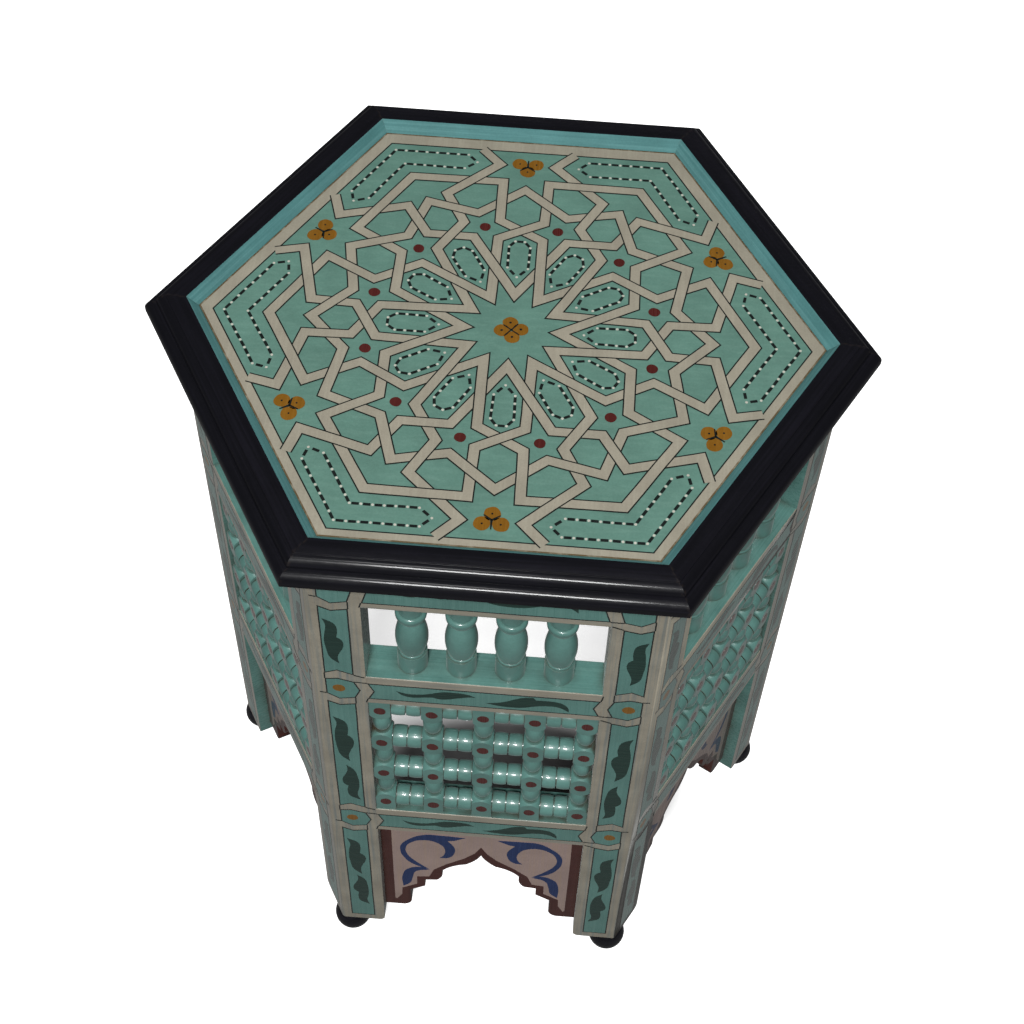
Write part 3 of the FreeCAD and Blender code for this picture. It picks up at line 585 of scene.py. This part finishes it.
# %% Rim
RIM_ROUND = 0.45 * MM
SHARP, SMOOTH_UP_TO = math.radians(40), 28
LEAST_LENGTH = 50 * MM
LIP_IN, LIP_UP = -0.3, 0.2
above_panel = panel_top + 0.5 * MM
for number in SIDES:
    sheet = on_side(number).inverted()
    mesh = copy_of(f"rim_moulding_{number}")
    bmesh.ops.recalc_face_normals(mesh, faces=mesh.faces)
    sharp = []
    for edge in mesh.edges:
        a, b = (sheet @ v.co for v in edge.verts)
        bent = len(edge.link_faces) == 2 and edge.calc_face_angle(0) > SHARP
        if bent and a.y > above_panel and b.y > above_panel and abs(a.x - b.x) > LEAST_LENGTH:
            sharp.append(edge)
    ease(mesh, sharp, RIM_ROUND)
    bmesh.ops.recalc_face_normals(mesh, faces=mesh.faces)
    for face in mesh.faces:
        looks = sheet.to_3x3() @ face.normal
        face.material_index = 1 if looks.z < LIP_IN and looks.y > LIP_UP else 0
    note_place(mesh, sheet)
    piece = make_piece(f"rim_{number}", mesh, (black, turquoise))
    smooth_rounds(piece, SMOOTH_UP_TO)
    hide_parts(f"rim_moulding_{number}")
print("rim faces:", len(piece.data.polygons))

# %% [markdown]
# ## Paint as a thin coat
#
# The pattern could be an image, but then it would blur close up. Here each coat is a very thin closed slab that lies
# on the wood, as paint does. A flat drawing is made first, a steady hand adds a little waver, and one extrusion gives
# the coat its thickness. The waver is a noise with a fixed seed, so every run draws the same line. Coats that overlap
# differ in thickness, so that the later one shows. What repeats on all six sides is drawn once and spun round.

# %% Coats of paint
SINK = 0.10 * MM
OFF_CENTRE = Vector((0, -2.1 * MM))
ON_TOP = Matrix.Translation((*OFF_CENTRE, panel_top))
WAVER_SEED = 1
noise.seed_set(WAVER_SEED)


def hand_waver(mesh, amount=0.22 * MM, reach=16 * MM):
    """Move the points of a drawing a little, as a hand does."""
    for vert in mesh.verts:
        shift = noise.noise_vector(vert.co / reach)
        vert.co += Vector((shift.x, shift.y, 0)) * amount


def coat(name, mesh, paints, sheet, thick=0.15 * MM, copies=1):
    """Lay a flat drawing on the table as a coat of paint with its own thickness."""
    note_place(mesh, Matrix())
    bmesh.ops.translate(mesh, verts=mesh.verts, vec=(0, 0, -SINK))
    grown = bmesh.ops.extrude_face_region(mesh, geom=mesh.faces[:])["geom"]
    lifted = [item for item in grown if isinstance(item, bmesh.types.BMVert)]
    bmesh.ops.translate(mesh, verts=lifted, vec=(0, 0, SINK + thick))
    mesh.transform(sheet)
    if copies > 1:
        whole = mesh.verts[:] + mesh.edges[:] + mesh.faces[:]
        bmesh.ops.spin(mesh, geom=whole, cent=(0, 0, 0), axis=(0, 0, 1), steps=copies - 1, use_duplicate=True,
                       angle=math.tau * (copies - 1) / copies)
    piece = make_piece(name, mesh, paints)
    print(name, len(piece.data.polygons), "faces")


print("coat helper ready")

# %% [markdown]
# ## Straps that weave
#
# The star pattern is made of cream straps with a black line on both edges, and each strap goes over and under the
# others in turn. The routes are given by their turning points on one sixth of the panel, in millimetres, and turned
# round the centre. Where two routes cross, the rule of over and under says which one is cut.

# %% Routes of the straps
SIXTHS, TWELFTHS = range(6), range(12)


def turn_round(points, sixths):
    """Points on the sheet of side 1 (along the side, out from the centre), turned on by some sixths."""
    spun = Matrix.Rotation(SIXTH_TURN * sixths, 2)
    return [spun @ Vector((x, -out)) * MM for x, out in points]


def flip(points):
    return [(-x, out) for x, out in points]


RAY = [(0, 32), (32.4, 84.2), (64.8, 84.2), (81.0, 110.2), (127.6, 96.5), (133.2, 115.7)]
STAR = [(0, 133.8), (31.2, 107.8), (67.0, 116.1), (77.8, 80.8)]
PETAL = [(-16.0, 27.7), (-15.5, 84.3), (15.5, 101.8), (16.4, 141.0), (81.0, 140.3)]

straps = []
for sixth in SIXTHS:
    straps.append({"route": turn_round(flip(RAY)[:0:-1] + RAY, sixth), "closed": False})
straps.append({"route": [p for sixth in SIXTHS for p in turn_round(STAR, sixth)], "closed": True})
for start in (0, 1):
    loop = []
    for sixth in (start, start + 2, start + 4):
        loop += turn_round(PETAL, sixth) + turn_round(flip(PETAL)[-2:0:-1], sixth + 1)
    straps.append({"route": loop, "closed": True})
print("straps:", len(straps), "turning points:", sum(len(s["route"]) for s in straps))

# %% Crossings, over and under
def runs_of(strap):
    """The straight runs of a strap, as pairs of points."""
    route = strap["route"]
    ends = route[1:] + route[:1] if strap["closed"] else route[1:]
    return list(zip(route, ends))


def find_crossings(straps):
    """Every crossing, listed along each strap as (how far along, place, direction of the other, its number)."""
    runs = [(s, r, a, b) for s, strap in enumerate(straps) for r, (a, b) in enumerate(runs_of(strap))]
    along = [[] for _ in straps]
    count = 0
    for (s, r, a, b), (t, q, c, d) in combinations(runs, 2):
        place = geometry.intersect_line_line_2d(a, b, c, d)
        if place is None or (s == t and (q - r == 1 or r == 0 and q == len(runs_of(straps[s])) - 1)):
            continue
        along[s].append((r + (place - a).length / (b - a).length, place, (d - c).normalized(), count))
        along[t].append((q + (place - c).length / (d - c).length, place, (b - a).normalized(), count))
        count += 1
    return [sorted(row, key=lambda meet: meet[0]) for row in along]


def weave(crossings):
    """Say for each strap and each of its crossings whether it goes over: over and under in turn."""
    where = {}
    for s, row in enumerate(crossings):
        for k, meet in enumerate(row):
            where.setdefault(meet[3], []).append((s, k))
    over = [None] * len(crossings)
    waiting = [(0, 0, True)]
    while waiting:
        s, k, on_top = waiting.pop()
        if over[s] is not None:
            continue
        over[s] = [on_top == ((j - k) % 2 == 0) for j in range(len(crossings[s]))]
        for j, meet in enumerate(crossings[s]):
            for t, i in where[meet[3]]:
                if (t, i) != (s, j):
                    waiting.append((t, i, not over[s][j]))
    return over


crossings = find_crossings(straps)
over = weave(crossings)
print("crossings:", sum(len(row) for row in crossings) // 2, [len(row) for row in crossings])

# %% [markdown]
# A strap is drawn as a row of short edges across it, which is extruded from one station to the next. At a turn the
# row lies on the mitre, and where the strap dives under another it stops along the edge of the upper one.

# %% Draw the straps
STRAP_HALF, LINE_WIDTH = 3.2 * MM, 0.9 * MM
ACROSS = (-STRAP_HALF - LINE_WIDTH, -STRAP_HALF, STRAP_HALF, STRAP_HALF + LINE_WIDTH)
JUST_BESIDE = 1e-6


def left_of(direction):
    return Vector((-direction.y, direction.x))


def turn_station(strap, corner):
    """The points across a strap at one of its turning points."""
    route = strap["route"]
    point = route[corner % len(route)]
    ways = []
    if strap["closed"] or corner > 0:
        ways.append((point - route[corner - 1]).normalized())
    if strap["closed"] or corner < len(route) - 1:
        ways.append((route[(corner + 1) % len(route)] - point).normalized())
    sides = [left_of(way) for way in ways]
    mitre = (sides[0] + sides[-1]) / (1 + sides[0].dot(sides[-1]))
    return [point + mitre * h for h in ACROSS]


def cut_station(way, place, other, before):
    """The points across a strap where it meets the edge of the strap above it."""
    away = left_of(other) if left_of(other).dot(way) > 0 else -left_of(other)
    reach = -ACROSS[-1] if before else ACROSS[-1]
    side = left_of(way)
    return [place + side * h + way * ((reach - h * side.dot(away)) / way.dot(away)) for h in ACROSS]


def lengths_of(strap, row, on_top):
    """The visible lengths of a strap, each a list of stations."""
    stops = [(float(corner), "turn", turn_station(strap, corner)) for corner in range(len(strap["route"]))]
    runs = runs_of(strap)
    for (far, place, other, _), above in zip(row, on_top):
        if not above:
            a, b = runs[int(far)]
            way = (b - a).normalized()
            stops.append((far - JUST_BESIDE, "dive", cut_station(way, place, other, before=True)))
            stops.append((far + JUST_BESIDE, "rise", cut_station(way, place, other, before=False)))
    stops.sort(key=lambda stop: stop[0])
    if strap["closed"]:
        first = next(k for k, stop in enumerate(stops) if stop[1] == "rise")
        stops = stops[first:] + stops[:first]
    lengths = [[]]
    for _, kind, station in stops:
        if kind == "rise" and lengths[-1]:
            lengths.append([])
        lengths[-1].append(station)
    return lengths


def draw_strip(mesh, stations, inks, step=9 * MM):
    """Extrude a row of edges from station to station, in steps short enough for the hand to waver."""
    row = [mesh.verts.new((*p, 0)) for p in stations[0]]
    edges = [mesh.edges.new(pair) for pair in zip(row, row[1:])]
    for here, there in zip(stations, stations[1:]):
        steps = max(1, round((there[1] - here[1]).length / step))
        for count in range(1, steps + 1):
            grown = bmesh.ops.extrude_edge_only(mesh, edges=edges)["geom"]
            fresh = {item for item in grown if isinstance(item, bmesh.types.BMVert)}
            row = [next(e.other_vert(v) for e in v.link_edges if e.other_vert(v) in fresh) for v in row]
            for vert, a, b in zip(row, here, there):
                vert.co = (*a.lerp(b, count / steps), 0)
            edges = [mesh.edges.get(pair) for pair in zip(row, row[1:])]
            for edge, ink in zip(edges, inks):
                edge.link_faces[0].material_index = ink


drawing = bmesh.new()
for strap, row, on_top_of in zip(straps, crossings, over):
    for stations in lengths_of(strap, row, on_top_of):
        draw_strip(drawing, stations, inks=(1, 0, 1))
hand_waver(drawing)
coat("star_straps", drawing, (cream_top, line_top), ON_TOP, thick=0.20 * MM)

# %% [markdown]
# ## Border, dashes, dots and flowers of the top
#
# A cream band closes the pattern at the lip, with a black line inside it and a stain in the joint. The pattern lies a
# little off the centre, so the outer edge of the band is moved back to follow the lip. The petals and corner fields
# have a row of dark dashes with white points between them. Red dots sit in the small stars and orange flowers in the
# middle and at the sides. A band is one short strip, a dash a small bar, a dot a filled circle.

# %% Border of the top
BORDER = (172.4, 173.3, 180.2, 181.2)
corners = turn_round([(apothem * math.tan(SIXTH_TURN / 2), apothem) for apothem in BORDER], 0)
drawing = bmesh.new()
for sixth in SIXTHS:
    turns = [Matrix.Rotation(SIXTH_TURN * count, 2) for count in (sixth, sixth + 1)]
    stations = [[turn @ corner for corner in corners] for turn in turns]
    for station in stations:
        station[2:] = [corner - OFF_CENTRE for corner in station[2:]]
    draw_strip(drawing, stations, inks=(1, 0, 2))
bmesh.ops.remove_doubles(drawing, verts=drawing.verts, dist=SAME_PLACE)
coat("border_band", drawing, (cream_border, line_top, stain), ON_TOP, thick=0.12 * MM)

# %% Dashes and points
POINT_RADIUS = 0.95 * MM
LARGEST_SHARE = 0.64


def add_dot(mesh, place, radius, ink=0, points=20):
    """A filled circle on the sheet."""
    made = bmesh.ops.create_circle(mesh, cap_ends=True, segments=points, radius=radius,
                                   matrix=Matrix.Translation((*place, 0)))
    for face in {f for v in made["verts"] for f in v.link_faces}:
        face.material_index = ink


def add_stroke(mesh, a, b, width, taper=1.0):
    """A short brush stroke from a to b in one step, which may get thinner."""
    side = left_of((b - a).normalized()) * width / 2
    draw_strip(mesh, [[a - side, a + side], [b - side * taper, b + side * taper]], inks=(0,), step=1.0)


def stitch(mesh, outline, pitch=7.6 * MM, length=4.9 * MM, width=2.0 * MM):
    """A dashed line along a closed outline, with a white point before each dash."""
    for a, b in zip(outline, outline[1:] + outline[:1]):
        count = max(1, round((b - a).length / pitch))
        way = (b - a) / count
        for number in range(count):
            middle = a + way * (number + 0.5)
            half = way.normalized() * min(length, way.length * LARGEST_SHARE) / 2
            add_stroke(mesh, middle - half, middle + half, width)
            add_dot(mesh, a + way * number, POINT_RADIUS, ink=1, points=8)


PETAL_DASHES = [(0, 48.5), (7.1, 57.0), (7.4, 77.0), (3.3, 82.5)]
CORNER_DASHES = [(36.5, 159.2), (45.0, 152.2), (88.1, 152.6)]
CORNER_DASHES_OUTER = [(96.0, 166.3), (43.5, 166.3)]
drawing = bmesh.new()
for twelfth in TWELFTHS:
    stitch(drawing, turn_round(PETAL_DASHES + flip(PETAL_DASHES)[:0:-1], twelfth / 2))
for sixth in SIXTHS:
    near_half = turn_round(CORNER_DASHES, sixth) + turn_round(flip(CORNER_DASHES)[-2::-1], sixth + 1)
    far_half = turn_round(flip(CORNER_DASHES_OUTER)[:0:-1], sixth + 1) + turn_round(CORNER_DASHES_OUTER, sixth)
    stitch(drawing, near_half + far_half)
hand_waver(drawing, amount=0.3 * MM)
coat("dashes", drawing, (line_top, white), ON_TOP)

# %% Dots and flowers
def around(out, degrees):
    """A point at a distance from the centre, and some degrees round from the middle of the side."""
    return out * math.sin(math.radians(degrees)), out * math.cos(math.radians(degrees))


RED_DOT = around(97.8, 15)
drawing = bmesh.new()
for twelfth in TWELFTHS:
    add_dot(drawing, turn_round([RED_DOT], twelfth / 2)[0], radius=3.9 * MM)
hand_waver(drawing, amount=0.4 * MM, reach=5 * MM)
coat("red_dots", drawing, (red,), ON_TOP)

FLOWER_PETALS = [(0, 152.6), (5.9, 160.4), (-5.9, 160.4)]
FLOWER_STEMS = [((0, 157.5), (0, 164.5)), ((0, 157.5), (5.2, 153.6)), ((0, 157.5), (-5.2, 153.6))]
MIDDLE_PETALS = [around(6.4, degrees) for degrees in (8, 98, 188, 278)]
MIDDLE_STROKES = [around(7, degrees) for degrees in (53, 143)]
petals, marks = bmesh.new(), bmesh.new()
for sixth in SIXTHS:
    for place in turn_round(FLOWER_PETALS, sixth):
        add_dot(petals, place, radius=5.4 * MM)
        add_dot(marks, place, radius=0.7 * MM, points=8)
    for stem in FLOWER_STEMS:
        add_stroke(marks, *turn_round(stem, sixth), width=1.5 * MM, taper=0.5)
for place in turn_round(MIDDLE_PETALS, 0):
    add_dot(petals, place, radius=5.2 * MM)
    add_dot(marks, place, radius=0.9 * MM, points=10)
for x, out in MIDDLE_STROKES:
    add_stroke(marks, *turn_round([(x, out), (-x, -out)], 0), width=0.9 * MM)
hand_waver(petals, amount=0.5 * MM, reach=5 * MM)
hand_waver(marks, amount=0.3 * MM, reach=5 * MM)
coat("flower_petals", petals, (orange,), ON_TOP, thick=0.16 * MM)
coat("flower_marks", marks, (line_top,), ON_TOP, thick=0.24 * MM)

# %% [markdown]
# ## Fields on posts and rails
#
# On the sides the cream is the ground, and green fields are laid over it, each with a black line round it. What is left
# of the cream between the fields reads as straps that cross at every rail. A field is a filled outline, and an inset
# makes its line. Short strokes at the crossings say which strap lies on top.

# %% Green fields
FIELD_LINE = 0.95 * MM
LONG_EDGE = 16 * MM
ARRIS, MARGIN, FIELD_MIDDLE, BAND_OUT, OPENING, BAND_IN = 110.4, 106.0, 97.5, 86.4, 79.3, 78.0
UPPER_UNDERSIDE = [(BAND_OUT, -7.0), (FIELD_MIDDLE, -3.5), (MARGIN, -5.0)]
UPPER_TOPSIDE = [(BAND_OUT, 1.5), (FIELD_MIDDLE, 6.2), (MARGIN, 2.0)]
LOWER_TOPSIDE = [(BAND_OUT, 5.7), (FIELD_MIDDLE, 3.0), (MARGIN, 9.5)]
LOWER_UNDERSIDE = [(BAND_OUT, -2.0), (FIELD_MIDDLE, -4.6), (MARGIN, -0.2)]
RAIL_UNDERSIDE, RAIL_TOPSIDE = -7.7, 5.7


def raised(points, level):
    return [(x, z + level) for x, z in points]


levels = [(low / MM, high / MM) for low, high in rails.values()]
half_fields, whole_fields = [], []
for low, high in levels:
    middle = (low + high) / 2 - 1
    half_fields.append(raised(UPPER_UNDERSIDE, high) + raised(LOWER_TOPSIDE, low)[::-1] + [(BAND_OUT - 3.8, middle)])
    right = [(BAND_IN, high + RAIL_UNDERSIDE), (BAND_IN - 4, middle), (BAND_IN, low + RAIL_TOPSIDE)]
    whole_fields.append(right + flip(right)[::-1])
foot = post_foot / MM + 8
feet = [(BAND_OUT, foot), (FIELD_MIDDLE, foot), (MARGIN, foot)]
tops = [raised(LOWER_UNDERSIDE, low) for low, high in levels]
bottoms = [raised(UPPER_TOPSIDE, high) for low, high in levels[1:]] + [feet]
half_fields += [top + bottom[::-1] for top, bottom in zip(tops, bottoms)]

drawing = bmesh.new()
for outline in whole_fields + half_fields + [flip(field) for field in half_fields]:
    drawing.faces.new([drawing.verts.new((x * MM, z * MM, 0)) for x, z in outline])
bmesh.ops.bisect_edges(drawing, edges=[e for e in drawing.edges if e.calc_length() > LONG_EDGE], cuts=7)
hand_waver(drawing)
bmesh.ops.recalc_face_normals(drawing, faces=drawing.faces)
lines = bmesh.ops.inset_individual(drawing, faces=drawing.faces[:], thickness=FIELD_LINE, use_even_offset=True)["faces"]
for face in lines:
    face.material_index = 1
coat("green_fields", drawing, (green_field, line), on_side(1), thick=0.15 * MM, copies=len(SIDES))

# %% Strokes where the straps cross
drawing = bmesh.new()
for low, high in levels:
    high_under, high_over = raised(UPPER_UNDERSIDE, high), raised(UPPER_TOPSIDE, high)
    low_over, low_under = raised(LOWER_TOPSIDE, low), raised(LOWER_UNDERSIDE, low)
    rail_high, rail_low = (BAND_IN, high + RAIL_UNDERSIDE), (BAND_IN, low + RAIL_TOPSIDE)
    corner_high, corner_low = (OPENING, high - 0.8), (OPENING, low + 0.8)
    on_left = [
        (high_under[0], rail_high), (high_over[0], corner_high), (high_under[2], high_over[2]),
        (low_over[0], low_under[0]), (rail_low, corner_low), (low_over[2], (ARRIS, low + 10.4)),
    ]
    on_right = [
        (high_under[0], high_over[0]), (rail_high, corner_high), (high_under[2], (ARRIS, high - 4.6)),
        (low_over[0], rail_low), (low_under[0], corner_low), (low_over[2], low_under[2]),
    ]
    for hand, strokes in ((-1, on_left), (1, on_right)):
        for ends in strokes:
            add_stroke(drawing, *(Vector((x * hand, z)) * MM for x, z in ends), FIELD_LINE)
coat("crossing_lines", drawing, (line,), on_side(1), thick=0.19 * MM, copies=len(SIDES))

# %% [markdown]
# ## Leaves, scrolls and dots on the sides
#
# The leaves and scrolls are single brush shapes with flowing edges and sharp tips. A Bezier curve through a few points
# draws such an outline: automatic handles where it flows, vector handles at a tip. The curve is made a mesh, filled and
# laid on as a coat.

# %% Draw an outline with a curve
CURVE_STEPS = 5


def brushed_shape(mesh, points, tips):
    """Fill a flowing outline that goes through some points, in metres, with sharp turns at the tips."""
    curve = bpy.data.curves.new("outline", "CURVE")
    curve.dimensions = "2D"
    curve.fill_mode = "NONE"
    curve.resolution_u = CURVE_STEPS
    spline = curve.splines.new("BEZIER")
    spline.bezier_points.add(len(points) - 1)
    spline.use_cyclic_u = True
    for number, (knot, place) in enumerate(zip(spline.bezier_points, points)):
        knot.co = (*place, 0)
        knot.handle_left_type = knot.handle_right_type = "VECTOR" if number in tips else "AUTO"
    holder = bpy.data.objects.new("outline", curve)
    drawn = bpy.data.meshes.new_from_object(holder)
    before = set(mesh.edges)
    mesh.from_mesh(drawn)
    bmesh.ops.edgeloop_fill(mesh, edges=[e for e in mesh.edges if e not in before])
    bpy.data.objects.remove(holder)
    bpy.data.curves.remove(curve)
    bpy.data.meshes.remove(drawn)


print("outline helper ready")

# %% Leaves
LEAF = [
    (-6.1, 31.4), (-1.6, 28.6), (2.2, 25), (3.8, 17), (3, 6.4), (5, 4.6), (7, 0.4), (6.5, -8), (4.1, -15), (2.4, -22),
    (3, -31.1), (-3.1, -23.2), (-5.5, -9.6), (-6.1, 1), (-5.4, 12), (-4.2, 23),
]
LEAF_TIPS, LEAF_LENGTH = (0, 4, 10), 62.5
LEAF_PLACES = [(98, 456.5, 53, 1), (97.5, 329, 62, 1), (95, 266, 52, -1), (97, 143, 62, 1), (95.5, 83, 54, -1)]
LYING_LEFT = [
    (-59, 3.1), (-54, -2.1), (-48, -3.8), (-40, -2.5), (-34, -1.6), (-30, -3.2), (-25, -3), (-16, 0.2), (-10, 2),
    (-5, 2.2), (-11, 5.6), (-20, 6.8), (-28, 6.1), (-36, 2.8), (-44, 0.6), (-52, 0.8),
]
LYING_LEFT_TIPS = (0, 4, 9)
LYING_RIGHT = [
    (1, -3.4), (10, -5.7), (20, -6.5), (26, -5.7), (36, -2.5), (44, -1.3), (50, -2), (54, -4.1), (57.5, -7.2),
    (57, -2.2), (53, 3), (46, 5.2), (40, 5.4), (35, 5), (33, 8.2), (28, 7.6), (22, 5), (14, 0.2), (6, -2.5),
]
LYING_RIGHT_TIPS = (0, 8, 13, 14)


def leaf_points(middle, length, flip_up, hand):
    """The outline of a standing leaf, in metres, of a given length round a middle point."""
    stretch = length / LEAF_LENGTH
    return [(Vector((-x * hand * math.sqrt(stretch), z * stretch * flip_up)) + Vector(middle)) * MM for x, z in LEAF]


drawing = bmesh.new()
for x, z, length, flip_up in LEAF_PLACES:
    for hand in (1, -1):
        brushed_shape(drawing, leaf_points((x * hand, z), length, flip_up, hand * flip_up), LEAF_TIPS)
for low, high in levels:
    middle = (low + high) / 2 - 1
    for shape, tips in ((LYING_LEFT, LYING_LEFT_TIPS), (LYING_RIGHT, LYING_RIGHT_TIPS)):
        brushed_shape(drawing, [Vector((x, middle + z)) * MM for x, z in shape], tips)
hand_waver(drawing, amount=0.4 * MM, reach=12 * MM)
coat("leaves", drawing, (leaf,), on_side(1), thick=0.22 * MM, copies=len(SIDES))

# %% Dots on posts and lattice blocks
POST_DOT = 97
drawing = bmesh.new()
for low, high in levels:
    for hand in (-1, 1):
        add_dot(drawing, Vector((POST_DOT * hand * MM, ((low + high) / 2 + 0.5) * MM)), radius=4.3 * MM)
hand_waver(drawing, amount=0.5 * MM, reach=6 * MM)
coat("orange_dots", drawing, (orange,), on_side(1), thick=0.22 * MM, copies=len(SIDES))

BLOCK_HALF_WIDTH, BLOCK_HALF_HEIGHT = 7.3 * MM, 12 * MM
BLOCK_DEPTH = 1 * MM
COLUMNS, ROWS = (-1.0, -0.5, 0.0, 0.5, 1.0), 4
last_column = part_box("lattice_spindles_1")[1].x - BLOCK_HALF_WIDTH
first_row, last_row = rails["lower_rail"][1] + BLOCK_HALF_HEIGHT, rails["middle_rail"][0] - BLOCK_HALF_HEIGHT
drawing = bmesh.new()
for column in COLUMNS:
    for row in range(ROWS):
        place = Vector((column * last_column, first_row + (last_row - first_row) * row / (ROWS - 1)))
        add_dot(drawing, place, radius=4.2 * MM, points=16)
hand_waver(drawing, amount=0.5 * MM, reach=6 * MM)
coat("lattice_dots", drawing, (red,), on_side(1, BLOCK_DEPTH), thick=0.15 * MM, copies=len(SIDES))

# %% Pink fields and blue scrolls of the aprons
PINK_FIELD = [
    (70.2, 166.4), (70.2, 24), (68.8, 22.5), (64.4, 32), (64, 44.3), (51.6, 54), (51.4, 68), (41.6, 69.6),
    (37.6, 83.2), (27, 95), (13, 107.5), (5, 118),
]
PINK_POINT = (0, 129.5)
SCROLL = [
    (12.1, 143.4), (32.9, 144.4), (44.3, 143.7), (55.7, 135.1), (62.9, 123.7), (64, 113.7), (61.4, 102.3),
    (54.3, 90.9), (40.7, 83), (51.4, 95.1), (58.6, 108), (59.3, 119.4), (54.3, 129.4), (44.3, 134.4),
    (35.7, 132.3), (29.3, 123.7), (29.3, 110.9), (32.9, 105.1), (25.7, 106.6), (20.7, 116.6), (21.4, 126.6),
    (26.4, 135.9), (21.4, 137.3),
]
SCROLL_TIPS = (0, 8, 17, 21, 22)
TAIL = [(41.4, 82.3), (47.1, 85.9), (58.6, 80.9), (62.9, 69.4), (62.9, 48), (57.1, 55.1), (55, 66.6), (51.4, 78)]
TAIL_TIPS = (0, 4)
on_apron = on_side(1, -apron_front) @ Matrix.Translation((0, post_foot, 0))

drawing = bmesh.new()
outline = PINK_FIELD + [PINK_POINT] + flip(PINK_FIELD)[::-1]
drawing.faces.new([drawing.verts.new((x * MM, z * MM, 0)) for x, z in outline])
bmesh.ops.bisect_edges(drawing, edges=[e for e in drawing.edges if e.calc_length() > LONG_EDGE], cuts=5)
hand_waver(drawing, amount=0.3 * MM)
coat("pink_fields", drawing, (pink,), on_apron, thick=0.15 * MM, copies=len(SIDES))

drawing = bmesh.new()
for hand in (-1, 1):
    for shape, tips in ((SCROLL, SCROLL_TIPS), (TAIL, TAIL_TIPS)):
        brushed_shape(drawing, [Vector((x * hand, z)) * MM for x, z in shape], tips)
hand_waver(drawing, amount=0.3 * MM, reach=12 * MM)
coat("blue_scrolls", drawing, (blue,), on_apron, thick=0.22 * MM, copies=len(SIDES))
